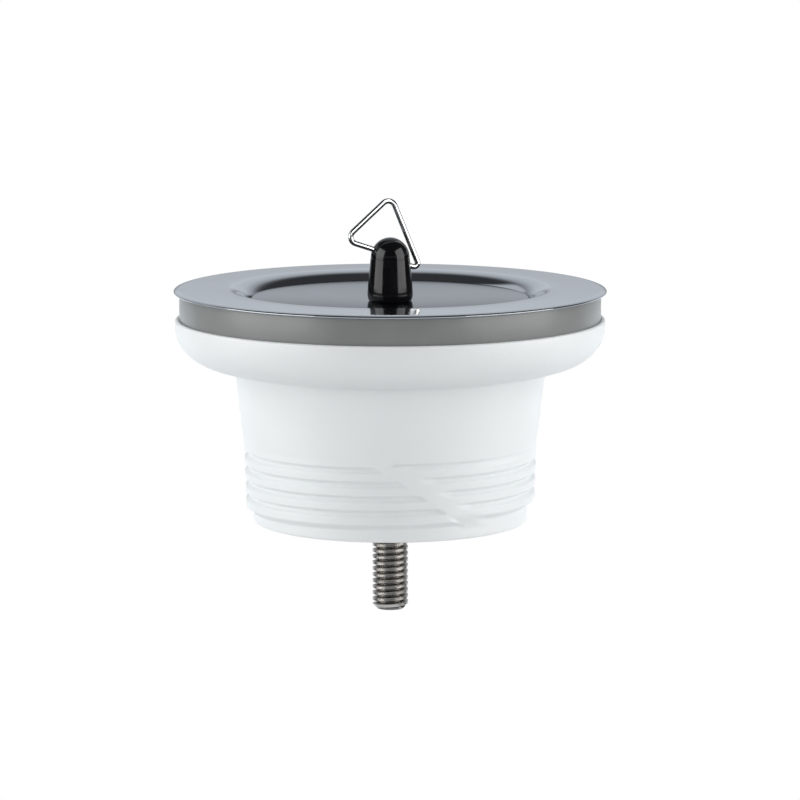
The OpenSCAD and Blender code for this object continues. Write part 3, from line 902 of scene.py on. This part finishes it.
def flange_mesh(flange, fastener):
    """The pressed flange with its drain holes."""
    across = reach_of("steel_flange")
    low = flange.under_edge
    slope = tan(flange.rim_fall)
    curve = across - flange.edge_width
    curve_top = flange.sheet + flange.edge_width * slope
    top = flange_face(flange, fastener.hole_radius, 0)
    under = flange_face(flange, fastener.hole_radius, flange.sheet)
    lip_across, lip_up = top[0]
    edge = (
        arc((across - low, low), low, -90, 0, 4)
        + arc((curve, low), (flange.edge_width, curve_top - low),
              4, 90 - degrees(flange.rim_fall), 14)
        + line((curve - NEAR, curve_top + NEAR * slope),
               (lip_across + NEAR, lip_up - NEAR * slope), 3))
    bm = spun(edge + top + under[::-1], WIDE_STEPS)
    floor = foot_of("steel_flange")
    drill_length = 12 * flange.sheet
    drills = []
    for i in range(flange.hole_count):
        turn = 2 * pi * (i + 0.5) / flange.hole_count
        centre = (flange.hole_circle * cos(turn), flange.hole_circle * sin(turn), floor)
        drills.append(rod(flange.hole_radius, drill_length, centre))
    return combined(bm, joined(*drills))


def gasket_mesh(gasket, flange):
    """The gasket with its centring bead, its top against the rim's underside."""
    across = reach_of("gasket")
    foot = -gasket.height
    bead_foot = foot_of("gasket")
    edge, inner = gasket.edge_radius, gasket.inner_radius
    return spun(rounded([
        (gasket.bore, rim_under(flange, gasket.bore) - gasket.rim_seat, inner),
        (across, rim_under(flange, across) - gasket.rim_seat, edge),
        (across, foot, edge / 2),
        (gasket.bead_radius, foot, 0),
        (gasket.bead_radius, bead_foot, inner),
        (gasket.bore, bead_foot, inner)], 5), WIDE_STEPS)


def thread_reach(body, turn, up):
    """Radius of the outlet thread at a turn to the right of the front and a height."""
    length = body.groove_count * body.pitch
    half = body.groove_width / 2
    fallen = body.groove_top + body.pitch / 2 - up
    into = turn - body.break_turn - body.break_slant * fallen / length
    right_of = into - body.break_width
    jog = 0.0
    if into > body.break_width / 2:
        jog = body.break_jog * exp(-max(0.0, right_of) / body.jog_turn)
    crest = body.thread_radius - body.thread_taper * max(0.0, fallen) / length

    def ended_at(grooves):
        """The radius where the thread ends at that groove."""
        along = (body.groove_top + jog - up) / body.pitch + turn / (2 * pi)
        groove = round(along)
        off = abs(along - groove) * body.pitch
        past_last = (along - grooves) * body.pitch + half
        if past_last > 0:
            return crest + (body.neck_radius - crest) * smooth(past_last / body.step_height)
        if groove < 0:
            return crest
        cut = body.thread_depth * smooth((half - off) / half * body.groove_slope)
        if groove == 0 and turn > 0:
            cut *= smooth(1 - turn / body.end_turn)
        return crest - cut

    grown = smooth((turn + pi) / body.start_turn)
    reach = (1 - grown) * ended_at(body.groove_count - 1) + grown * ended_at(body.groove_count)
    foot = body.groove_top - (body.groove_count + body.last_ridge) * body.pitch
    plain = body.neck_radius + (crest - body.neck_radius) * smooth((up - foot) / body.break_fall)
    inside = smooth(into / body.break_start) * smooth(-right_of / body.break_end)
    below_top = smooth((fallen - body.break_top) / body.break_fade)
    return reach + (plain - reach) * inside * below_top


def body_mesh(body):
    """The moulded bowl, tail, outlet thread and neck as one wall."""
    bowl = reach_of("body")
    bowl_top = top_of("body") - body.lip_height
    bowl_under = bowl_top - body.bowl_height
    thread_top = bowl_under - body.tail_length
    foot = foot_of("body")
    wall = body.wall
    side = bowl_top - body.bowl_straight
    side_height = body.bowl_height - body.bowl_straight
    throat = bowl_under + wall
    bore = body.neck_radius - wall
    inner_tail = body.tail_radius - wall
    round_across = bowl - body.bowl_round
    corner = body.throat_radius
    neck_top = foot + body.neck_plain
    lip_inside = bowl - body.lip_width
    chamfer = body.bore_chamfer

    def tail_at(up):
        """Outer radius of the tail at a height."""
        fallen = (bowl_under - up) / body.tail_length
        straight = body.tail_radius + (body.thread_radius - body.tail_radius) * fallen
        return straight + body.tail_bulge * 4 * fallen * (1 - fallen)

    tail_top = bowl_under - corner
    tail_steps = 10
    tail_fall = (tail_top - thread_top - 3 * NEAR) / tail_steps
    tail = [tail_top - tail_fall * i for i in range(1, tail_steps + 1)]
    thread_rows = 100
    outline = (
        arc((bowl - body.lip_height, bowl_top), body.lip_height, 90, 0, 6)
        + arc((round_across, side), (body.bowl_round, side_height), 0, -90, 28)
        + arc((tail_at(tail_top) + corner, tail_top), corner, 90, 180, 6)
        + [(tail_at(up), up) for up in tail]
        + line((body.thread_radius, thread_top), (body.thread_radius, neck_top), thread_rows)
        + [(body.neck_radius, neck_top - NEAR)]
        + arc((body.neck_radius - body.edge_radius, foot + body.edge_radius),
              body.edge_radius, 0, -90, 5)
        + [(bore + chamfer, foot), (bore, foot + chamfer), (bore, thread_top),
           (inner_tail, bowl_under), (inner_tail, throat - corner)]
        + arc((inner_tail + corner, throat - corner), corner, 180, 90, 4)
        + arc((round_across, side), (body.bowl_round - wall, side_height - wall), -90, 0, 12)
        + [(bowl - wall, bowl_top), (lip_inside, bowl_top),
           (lip_inside, bowl_top + body.lip_height)])
    bm = spun(outline, BODY_STEPS)
    for vert in bm.verts:
        across, up = hypot(vert.co.x, vert.co.y), vert.co.z
        if up < thread_top + HAIR and across > body.thread_radius - HAIR:
            turn = atan2(vert.co.x, -vert.co.y)
            reach = thread_reach(body, turn, up)
            vert.co.x *= reach / across
            vert.co.y *= reach / across
    bmesh.ops.recalc_face_normals(bm, faces=bm.faces)
    return bm


def spider_mesh(spider, body, fastener):
    """The hub with its pocket for the nut, and the ribs that carry it."""
    low = foot_of("hub_nut")
    high = low + spider.hub_height
    hub = spun(rounded([
        (fastener.hole_radius, low, 0), (spider.hub_radius, low, spider.hub_edge),
        (spider.hub_radius, high, spider.hub_edge),
        (fastener.hole_radius, high, spider.hole_edge)]), NARROW_STEPS)
    pocket = hexagon(fastener.nut_flats + fastener.nut_play, low - MM, top_of("hub_nut"))
    hub = combined(hub, pocket)
    inside = spider.hub_radius - spider.rib_root
    outside = body.neck_radius - body.wall / 2
    half = spider.rib_thickness / 2
    ribs = []
    for i in range(spider.rib_count):
        bm = bmesh.new()
        corners = [(inside, low), (outside, low), (outside, high - spider.rib_drop),
                   (inside, high)]
        face = bm.faces.new([bm.verts.new((across, -half, up)) for across, up in corners])
        sides = bmesh.ops.extrude_face_region(bm, geom=[face])["geom"]
        moved = [v for v in sides if isinstance(v, bmesh.types.BMVert)]
        bmesh.ops.translate(bm, verts=moved, vec=(0, 2 * half, 0))
        bmesh.ops.recalc_face_normals(bm, faces=bm.faces)
        softened(bm, sharp_edges(bm), spider.rib_edge)
        turn = Matrix.Rotation(2 * pi * i / spider.rib_count, 3, "Z")
        bmesh.ops.rotate(bm, verts=bm.verts, cent=(0, 0, 0), matrix=turn)
        ribs.append(bm)
    return joined(hub, *ribs)


def nut_mesh(fastener):
    """The hexagon nut with its chamfered corners and bore."""
    low, high = foot_of("hub_nut"), top_of("hub_nut")
    corner = fastener.nut_flats / 2 / cos(pi / 6)
    chamfer = fastener.nut_chamfer
    past = corner + NEAR
    bore = fastener.screw_radius + fastener.clearance
    turned = spun([
        (bore, low), (corner - chamfer, low), (past, low + chamfer),
        (past, high - chamfer), (corner - chamfer, high), (bore, high)], NARROW_STEPS)
    return combined(turned, hexagon(fastener.nut_flats, low - MM, high + MM), "INTERSECT")


def threaded_rod(fastener, low, high):
    """The screw's thread cut off at two heights, its lower end chamfered."""
    bm = bmesh.new()
    steps = 40
    pitch = fastener.screw_pitch
    turns = int((high - low) / pitch) + 3
    crest = fastener.screw_radius
    root = crest - fastener.thread_depth
    worn = crest - fastener.crest_wear
    # The ridge as (radius, share of the pitch)
    ridge = [(root, 0), (root, 0.16), (worn, 0.34), (crest, 0.38), (crest, 0.76), (worn, 0.8),
             (root, 1)]
    verts = [bm.verts.new((across, 0, low + pitch * (share - 1.5))) for across, share in ridge]
    edges = [bm.edges.new(pair) for pair in zip(verts, verts[1:])]
    bmesh.ops.spin(
        bm, geom=verts + edges, cent=(0, 0, 0), axis=(0, 0, 1), angle=2 * pi * turns,
        steps=steps * turns, dvec=(0, 0, pitch / steps))
    bmesh.ops.remove_doubles(bm, verts=bm.verts, dist=1e-6)
    for height, way in ((high, 1), (low, -1)):
        bmesh.ops.bisect_plane(
            bm, geom=bm.verts[:] + bm.edges[:] + bm.faces[:], dist=1e-8,
            plane_co=(0, 0, height), plane_no=(0, 0, way), clear_outer=True)
    for vert in bm.verts:
        across = hypot(vert.co.x, vert.co.y)
        limit = root - fastener.end_chamfer + (vert.co.z - low)
        if across > limit:
            vert.co.x *= limit / across
            vert.co.y *= limit / across
    bmesh.ops.holes_fill(bm, edges=[e for e in bm.edges if e.is_boundary])
    bmesh.ops.recalc_face_normals(bm, faces=bm.faces)
    return bm


def screw_mesh(fastener):
    """The clamp screw: a slotted domed head over its long thread."""
    low, high = foot_of("clamp_screw"), top_of("clamp_screw")
    under = high - fastener.head_height
    head_r = reach_of("clamp_screw")
    crown = fastener.head_height / 3
    edge = fastener.head_edge
    head = spun(
        arc((0, high - crown), (head_r, crown), 90, 6, 14)
        + [(head_r, high - crown), (head_r, under + edge), (head_r - edge, under),
           (0, under)], NARROW_STEPS, closed=False)
    blade = bmesh.new()
    blade_height = 10 * MM
    middle = high - fastener.slot_depth + blade_height / 2
    bmesh.ops.create_cube(
        blade, size=1, matrix=Matrix.Translation((0, 0, middle)) @ Matrix.Diagonal(
            (4 * head_r, fastener.slot_width, blade_height, 1)))
    into_head = 0.2 * MM
    return joined(combined(head, blade), threaded_rod(fastener, low, under + into_head))


def cover_height(plug, across):
    """Height of the cover's top, which is dished a little."""
    flat = reach_of("plug_cover") - plug.cover_edge
    return (top_of("plug_cover") - plug.cover_drop
            - plug.cover_dish * (1 - (across / flat) ** 2))


def cover_face(plug, sunk, start, end, steps=24):
    """Points of the cover's top between two radii, sunk below it."""
    ways = [start + (end - start) * i / steps for i in range(steps + 1)]
    return [(across, cover_height(plug, across) - sunk) for across in ways]


def cover_mesh(plug):
    """The plug's pressed cover with its turned-down edge."""
    across = reach_of("plug_cover")
    edge, sheet = plug.cover_edge, plug.cover_sheet
    flat = across - edge
    centre = (flat, top_of("plug_cover") - plug.cover_drop - edge)
    foot = foot_of("plug_cover")
    chamfer = plug.cover_chamfer
    return spun(
        cover_face(plug, 0, plug.neck_radius, flat)[:-1]
        + arc(centre, edge, COVER_TURN, 0, 12)
        + [(across, foot + chamfer), (across - chamfer, foot), (across - sheet, foot)]
        + arc(centre, edge - sheet, 0, COVER_TURN, 6)
        + cover_face(plug, sheet, flat, plug.neck_radius)[1:], WIDE_STEPS)


def plug_mesh(plug, ring, seat_taper):
    """The rubber plug: stem, body under the cover, and the hollow tapered seal."""
    cover = reach_of("plug_cover")
    flat = cover - plug.cover_edge
    low, seal_top = foot_of("plug"), foot_of("plug_cover")
    seal_foot = reach_of("plug") - (seal_top - low) * tan(seat_taper)
    shoulder = top_of("plug") - plug.dome_height
    sheet = plug.cover_sheet
    hollow = seal_foot - plug.seal_wall
    edge_top = top_of("plug_cover") - plug.cover_drop
    web = edge_top - sheet - plug.web
    edge_centre = (flat, edge_top - plug.cover_edge)
    dome = plug.shoulder_radius - plug.shoulder_step
    base = cover_height(plug, plug.foot_radius)
    soft = plug.hollow_edge
    outline = (
        arc((0, shoulder), (dome, plug.dome_height), 90, 0, 16)
        + line((plug.shoulder_radius, shoulder - plug.shoulder_step),
               (plug.base_radius, base + plug.foot_height), 12)
        + arc((plug.foot_radius, base + plug.foot_height),
              (plug.base_radius - plug.foot_radius, plug.foot_height), 0, -80, 12)
        + [(plug.foot_radius, base), (plug.neck_radius, base)]
        + cover_face(plug, sheet, plug.neck_radius, flat)[:-1]
        + arc(edge_centre, plug.cover_edge - sheet, COVER_TURN, 0, 6)
        + [(cover - sheet, seal_top), (reach_of("plug"), seal_top),
           (seal_foot, low + plug.seal_edge_height), (seal_foot - plug.seal_edge_width, low),
           (hollow, low), (hollow, web - soft), (hollow - soft, web), (0, web)])
    bm = spun(outline, PLUG_STEPS, closed=False)
    through = 4 * plug.base_radius
    return combined(
        bm, rod(ring.wire_radius + ring.clearance, through, ring_pivot(), ring_axis(), 32))


def ring_joint():
    """The joint about which the ring swings."""
    return next(joint for joint in frame["joints"] if joint["name"] == "ring_swing")


def ring_axis():
    """The way the ring's bar runs, to the right."""
    return Vector(ring_joint()["axis"]).normalized()


def ring_pivot():
    """The middle of the ring's bar, inside the stem."""
    return Vector(ring_joint()["pos_m"])


def bent_wire(corners, bends, radius):
    """A round wire along corners in the XZ plane, each inner corner bent to its radius."""
    bm = bmesh.new()
    points = [Vector((across, 0, up)) for across, up in corners]
    ways = [(b - a).normalized() for a, b in zip(points, points[1:])]
    turn = Vector((0, 0, 1)).rotation_difference(ways[0]).to_matrix().to_4x4()
    circle = bmesh.ops.create_circle(
        bm, segments=28, radius=radius, matrix=Matrix.Translation(points[0]) @ turn)["verts"]
    loop = list({edge for vert in circle for edge in vert.link_edges})
    normal = Vector((0, 1, 0))
    here = points[0]
    for i, way in enumerate(ways):
        bends_on = i + 1 < len(ways)
        angle = way.angle(ways[i + 1]) if bends_on else 0
        trim = bends[i + 1] * tan(angle / 2) if bends_on else 0
        there = points[i + 1] - way * trim
        grown = bmesh.ops.extrude_edge_only(bm, edges=loop)["geom"]
        verts = [item for item in grown if isinstance(item, bmesh.types.BMVert)]
        bmesh.ops.translate(bm, verts=verts, vec=there - here)
        loop = [item for item in grown if isinstance(item, bmesh.types.BMEdge)
                and item.verts[0] in verts and item.verts[1] in verts]
        if bends_on:
            side = 1 if way.cross(ways[i + 1]).dot(normal) > 0 else -1
            centre = there + normal.cross(way) * side * bends[i + 1]
            verts = list({vert for edge in loop for vert in edge.verts})
            last = bmesh.ops.spin(
                bm, geom=verts + loop, cent=centre, axis=normal, angle=side * angle,
                steps=12)["geom_last"]
            loop = [item for item in last if isinstance(item, bmesh.types.BMEdge)]
            here = points[i + 1] + ways[i + 1] * trim
    bmesh.ops.remove_doubles(bm, verts=bm.verts, dist=1e-8)
    bmesh.ops.holes_fill(bm, edges=[e for e in bm.edges if e.is_boundary])
    bmesh.ops.recalc_face_normals(bm, faces=bm.faces)
    return bm


def ring_mesh(ring):
    """The bent wire ring, its bar through the stem."""
    corners = [
        (-ring.wire_gap / 2, 0),
        (-ring.bar_left, 0),
        (-ring.bar_left - ring.arm_length * cos(ring.arm_bend),
         -ring.arm_length * sin(ring.arm_bend)),
        (-ring.apex_left, ring.apex_height),
        (ring.bar_right, 0),
        (ring.wire_gap / 2, 0)]
    bends = [0, ring.bar_bend_radius, ring.bend_radius, ring.bend_radius,
             ring.bar_bend_radius, 0]
    bm = bent_wire(corners, bends, ring.wire_radius)
    bar = ring_axis()
    level = Vector((0, 0, 1)).cross(bar).normalized()
    turn = Matrix((bar, level, bar.cross(level))).transposed()
    bmesh.ops.transform(
        bm, verts=bm.verts, matrix=Matrix.Translation(ring_pivot()) @ turn.to_4x4())
    return bm


# Studio

def glowing_plane(name, size, height, strength):
    """A wide plane that glows upwards and isn't seen from underneath."""
    bm = bmesh.new()
    bmesh.ops.create_grid(
        bm, x_segments=1, y_segments=1, size=size, matrix=Matrix.Translation((0, 0, height)))
    plane = object_from(name, bm)
    material = bpy.data.materials.new(name)
    material.use_nodes = True
    tree = material.node_tree
    tree.nodes.remove(tree.nodes["Principled BSDF"])
    glow = tree.nodes.new("ShaderNodeEmission")
    glow.inputs["Strength"].default_value = strength
    clear = tree.nodes.new("ShaderNodeBsdfTransparent")
    sides = tree.nodes.new("ShaderNodeNewGeometry")
    mix = tree.nodes.new("ShaderNodeMixShader")
    tree.links.new(sides.outputs["Backfacing"], mix.inputs["Fac"])
    tree.links.new(glow.outputs["Emission"], mix.inputs[1])
    tree.links.new(clear.outputs["BSDF"], mix.inputs[2])
    tree.links.new(mix.outputs["Shader"], tree.nodes["Material Output"].inputs["Surface"])
    plane.data.materials.append(material)
    return plane


def white_floor(stage, height):
    """The floor as the camera sees it, and the softer light that it throws on the object."""
    seen = glowing_plane("floor", stage.floor_size, height, 1.0)
    seen.visible_diffuse = False
    seen.visible_glossy = False
    bounce = glowing_plane("floor_bounce", stage.floor_size, height, stage.floor_bounce)
    bounce.visible_camera = False
    bounce.visible_glossy = False


def soft_light(name, place, width, tall, power, mirrored=True):
    """A large soft light that faces the object. Polished faces show it only where it's mirrored."""
    light = bpy.data.lights.new(name, "AREA")
    light.shape = "RECTANGLE"
    light.size = width
    light.size_y = tall
    light.energy = power
    lamp = bpy.data.objects.new(name, light)
    lamp.location = place
    lamp.rotation_euler = (-Vector(place)).to_track_quat("-Z", "Y").to_euler()
    lamp.visible_glossy = mirrored
    bpy.context.scene.collection.objects.link(lamp)
    return lamp


def lit_only(lamp, piece, state):
    """Limits a light to one piece, or keeps it off that piece."""
    lit = bpy.data.collections.new(lamp.name + "_on_" + piece)
    lit.objects.link(bpy.data.objects[piece])
    lamp.light_linking.receiver_collection = lit
    lit.collection_objects[0].light_linking.link_state = state


def studio_lights(stage):
    """Softboxes that polished faces mirror, and soft lights that they don't."""
    for side, name in ((-1, "left"), (1, "right")):
        turn = side * stage.box_turn
        across, ahead = sin(turn) * stage.box_distance, -cos(turn) * stage.box_distance
        low = soft_light(
            "softbox_" + name, place=(across, ahead, stage.box_middle), width=stage.box_width,
            tall=stage.box_height, power=stage.box_strength)
        lit_only(low, "rubber_plug", "EXCLUDE")
        tall = soft_light(
            "tall_softbox_" + name, place=(across, ahead, stage.tall_box_middle),
            width=stage.box_width, tall=stage.tall_box_height, power=stage.tall_box_strength)
        lit_only(tall, "rubber_plug", "INCLUDE")
        soft_light(
            "side_" + name, place=(side * 1.2, 0.2, 0.3), width=0.8, tall=1.2,
            power=stage.side_strength, mirrored=False)
    soft_light(
        "front_fill", place=(0, -1.1, 0.6), width=1.6, tall=0.8, power=stage.fill_strength,
        mirrored=False)
    soft_light(
        "top_fill", place=(0, 0.01, 1.4), width=2.2, tall=2.2, power=stage.top_strength,
        mirrored=False)
    sparkle = soft_light(
        "sparkle", place=(0.3, -0.9, 0.55), width=0.9, tall=1.3, power=stage.sparkle_strength)
    lit_only(sparkle, "wire_ring", "INCLUDE")


def direction_ramp(tree, value, stops):
    """A value that follows stops of (place, level), the places from 0 to 1."""
    ramp = tree.nodes.new("ShaderNodeValToRGB")
    elements = ramp.color_ramp.elements
    while len(elements) < len(stops):
        elements.new(0.5)
    for element, (at, level) in zip(elements, stops):
        element.position = at
        element.color = (level, level, level, 1)
    tree.links.new(value, ramp.inputs["Fac"])
    return ramp.outputs["Color"]


# What polished faces mirror, as stops of (share of the way in a direction, brightness)
GLOW_BEHIND = [
    (0.0, 0.04), (0.1, 0.055), (0.2, 0.09), (0.3, 0.18), (0.4, 0.33), (0.5, 0.42),
    (0.6, 0.49), (0.7, 0.55), (1.0, 0.56)]
LEFT_WALL = [(0.0, 0.0), (0.45, 0.0), (0.65, 0.55), (1.0, 0.55)]
LEFT_WALL_HEIGHT = [(0.0, 0.0), (0.12, 0.0), (0.25, 1.0), (0.5, 1.0), (0.62, 0.0), (1.0, 0.0)]
HORIZON = [
    (0.0, 0.42), (0.12, 0.44), (0.15, 0.58), (0.185, 0.76), (0.21, 0.93), (0.223, 0.96),
    (0.234, 1.12), (0.3, 1.12)]
LOW_WALL = [(0.0, 0.0), (0.08, 0.0), (0.11, 0.3), (0.19, 0.3), (0.25, 0.08), (0.35, 0.0)]
NEAR_FLOOR = [(0.0, 0.0), (0.06, 0.0), (0.2, 0.15), (0.45, 0.75), (1.0, 0.85)]
FAR_FLOOR = [(0.0, 0.0), (0.04, 0.0), (0.1, 1.0), (1.0, 1.0)]
FAR_FLOOR_BEHIND = [(0.0, 0.0), (0.5, 0.0), (0.75, 1.0), (1.0, 1.0)]
# How fast the glow fades towards the sides, and how far under level the horizon's stops start
GLOW_SIDE_FALL = 0.7
HORIZON_START = 0.1


def studio_world(stage):
    """Surroundings that only polished faces mirror: a wide glow behind the object, dark in front."""
    world = bpy.data.worlds.new("studio")
    bpy.context.scene.world = world
    world.use_nodes = True
    world.cycles_visibility.diffuse = False
    tree = world.node_tree
    place = tree.nodes.new("ShaderNodeTexCoord")
    parts = tree.nodes.new("ShaderNodeSeparateXYZ")
    tree.links.new(place.outputs["Generated"], parts.inputs["Vector"])
    aside, behind, up = (parts.outputs[name] for name in "XYZ")
    left = computed(tree, "MULTIPLY", aside, -1)
    down = computed(tree, "MULTIPLY", up, -1)

    def product(first, second):
        """One level times another."""
        return computed(tree, "MULTIPLY", first, second)

    def brighter(first, second):
        """The brighter of two levels."""
        return computed(tree, "MAXIMUM", first, second)

    sideways = product(computed(tree, "ABSOLUTE", aside), GLOW_SIDE_FALL)
    glow = direction_ramp(tree, computed(tree, "SUBTRACT", behind, sideways), GLOW_BEHIND)
    left_wall = product(
        direction_ramp(tree, left, LEFT_WALL), direction_ramp(tree, up, LEFT_WALL_HEIGHT))
    horizon = direction_ramp(tree, computed(tree, "ADD", up, HORIZON_START), HORIZON)
    walls = product(brighter(glow, left_wall), horizon)
    low_wall = direction_ramp(tree, up, LOW_WALL)
    far_floor = product(
        direction_ramp(tree, down, FAR_FLOOR), direction_ramp(tree, behind, FAR_FLOOR_BEHIND))
    floor = brighter(direction_ramp(tree, down, NEAR_FLOOR), far_floor)
    tint = tree.nodes.new("ShaderNodeMix")
    tint.data_type = "RGBA"
    tint.blend_type = "MULTIPLY"
    tint.inputs["Factor"].default_value = 1
    first, second = (socket for socket in tint.inputs if socket.type == "RGBA")
    tree.links.new(brighter(low_wall, brighter(walls, floor)), first)
    second.default_value = (*stage.glow_colour, 1)
    shade = tree.nodes["Background"]
    tinted = next(socket for socket in tint.outputs if socket.type == "RGBA")
    tree.links.new(tinted, shade.inputs["Color"])
    shade.inputs["Strength"].default_value = 1


def studio_camera(stage):
    """The camera at the photograph's angle."""
    camera = bpy.data.cameras.new("camera")
    camera.lens = stage.lens
    camera.sensor_width = 36
    camera.clip_start = 0.01
    camera.clip_end = 20
    holder = bpy.data.objects.new("camera", camera)
    holder.location = (stage.camera_side, -stage.camera_distance, stage.camera_height)
    holder.rotation_euler = (pi / 2 - stage.camera_pitch, 0, 0)
    bpy.context.scene.collection.objects.link(holder)
    bpy.context.scene.camera = holder


# Operators

class PieceOperator:
    """What every operator of the part has in common."""
    bl_options = {"REGISTER", "UNDO"}


class PLUGWASTE_OT_flange(PieceOperator, bpy.types.Operator):
    """Models the pressed steel rim and cup"""
    bl_idname = "plug_waste.flange"
    bl_label = "Steel Flange"

    def execute(self, context):
        settings = context.scene.plug_waste
        finish = settings.finish
        steel = polished_steel(
            "polished_steel", finish.steel, finish.steel_roughness, finish.steel_spread)
        placed("rim_and_cup", flange_mesh(settings.flange, settings.fastener), steel,
               "waste", "steel_flange")
        return {"FINISHED"}


class PLUGWASTE_OT_gasket(PieceOperator, bpy.types.Operator):
    """Models the grey gasket under the rim"""
    bl_idname = "plug_waste.gasket"
    bl_label = "Gasket"

    def execute(self, context):
        settings = context.scene.plug_waste
        placed("rim_gasket", gasket_mesh(settings.gasket, settings.flange),
               grey_rubber(settings.finish.gasket), "waste", "gasket")
        return {"FINISHED"}


class PLUGWASTE_OT_body(PieceOperator, bpy.types.Operator):
    """Models the white body with its outlet thread, and the spider inside it"""
    bl_idname = "plug_waste.body"
    bl_label = "Moulded Body"

    def execute(self, context):
        settings = context.scene.plug_waste
        finish = white_plastic(settings.finish.plastic)
        placed("moulded_body", body_mesh(settings.body), finish, "waste", "body",
               radians(50))
        spider = spider_mesh(settings.spider, settings.body, settings.fastener)
        placed("body_spider", spider, finish, "waste", "body")
        return {"FINISHED"}


class PLUGWASTE_OT_fasteners(PieceOperator, bpy.types.Operator):
    """Models the clamp screw and the nut in the hub"""
    bl_idname = "plug_waste.fasteners"
    bl_label = "Screw and Nut"

    def execute(self, context):
        settings = context.scene.plug_waste
        fastener, colours = settings.fastener, settings.finish
        crest = fastener.screw_radius
        placed("threaded_screw", screw_mesh(fastener),
               screw_steel(colours.screw, crest - fastener.thread_depth, crest), "waste",
               "clamp_screw")
        placed("hexagon_nut", nut_mesh(fastener), dull_brass(colours.brass), "waste",
               "hub_nut")
        return {"FINISHED"}


class PLUGWASTE_OT_plug(PieceOperator, bpy.types.Operator):
    """Models the rubber plug and its steel cover"""
    bl_idname = "plug_waste.plug"
    bl_label = "Plug and Cover"

    def execute(self, context):
        settings = context.scene.plug_waste
        finish = settings.finish
        placed("rubber_plug",
               plug_mesh(settings.plug, settings.ring, settings.flange.seat_taper),
               black_rubber(finish.rubber), "plug", "plug")
        steel = polished_steel(
            "cover_steel", finish.cover, finish.cover_roughness, finish.cover_spread,
            finish.cover_glance)
        placed("steel_cover", cover_mesh(settings.plug), steel, "plug", "plug_cover")
        return {"FINISHED"}


class PLUGWASTE_OT_ring(PieceOperator, bpy.types.Operator):
    """Models the wire ring through the stem"""
    bl_idname = "plug_waste.ring"
    bl_label = "Pull Ring"

    def execute(self, context):
        settings = context.scene.plug_waste
        placed("wire_ring", ring_mesh(settings.ring), bright_wire(settings.finish.wire), "ring",
               "pull_ring")
        return {"FINISHED"}


class PLUGWASTE_OT_stage(PieceOperator, bpy.types.Operator):
    """Sets up the floor, the lights, the surroundings and the camera"""
    bl_idname = "plug_waste.stage"
    bl_label = "Studio"

    def execute(self, context):
        stage = context.scene.plug_waste.stage
        white_floor(stage, foot_of("clamp_screw"))
        studio_lights(stage)
        studio_world(stage)
        studio_camera(stage)
        context.scene.view_settings.view_transform = "Standard"
        return {"FINISHED"}


class PLUGWASTE_PT_sidebar(bpy.types.Panel):
    """Lists what can be made"""
    bl_label = "Plug Waste"
    bl_idname = "PLUGWASTE_PT_sidebar"
    bl_space_type = "VIEW_3D"
    bl_region_type = "UI"
    bl_category = "Plug Waste"

    def draw(self, context):
        for operator in OPERATORS:
            self.layout.operator(operator.bl_idname)


SETTINGS = (
    FlangeSettings, GasketSettings, BodySettings, SpiderSettings, FastenerSettings,
    PlugSettings, RingSettings, FinishSettings, StageSettings, PlugWasteSettings)
OPERATORS = (
    PLUGWASTE_OT_flange, PLUGWASTE_OT_gasket, PLUGWASTE_OT_body, PLUGWASTE_OT_fasteners,
    PLUGWASTE_OT_plug, PLUGWASTE_OT_ring, PLUGWASTE_OT_stage)
CLASSES = (*SETTINGS, *OPERATORS, PLUGWASTE_PT_sidebar)


def register():
    for one in CLASSES:
        bpy.utils.register_class(one)
    bpy.types.Scene.plug_waste = PointerProperty(
        type=PlugWasteSettings, name="Plug waste", description="Settings of the plug waste")


def unregister():
    del bpy.types.Scene.plug_waste
    for one in reversed(CLASSES):
        bpy.utils.unregister_class(one)


def main():
    """Makes every piece and the studio."""
    register()
    bpy.ops.plug_waste.flange()
    bpy.ops.plug_waste.gasket()
    bpy.ops.plug_waste.body()
    bpy.ops.plug_waste.fasteners()
    bpy.ops.plug_waste.plug()
    bpy.ops.plug_waste.ring()
    bpy.ops.plug_waste.stage()


if __name__ == "__main__":
    main()
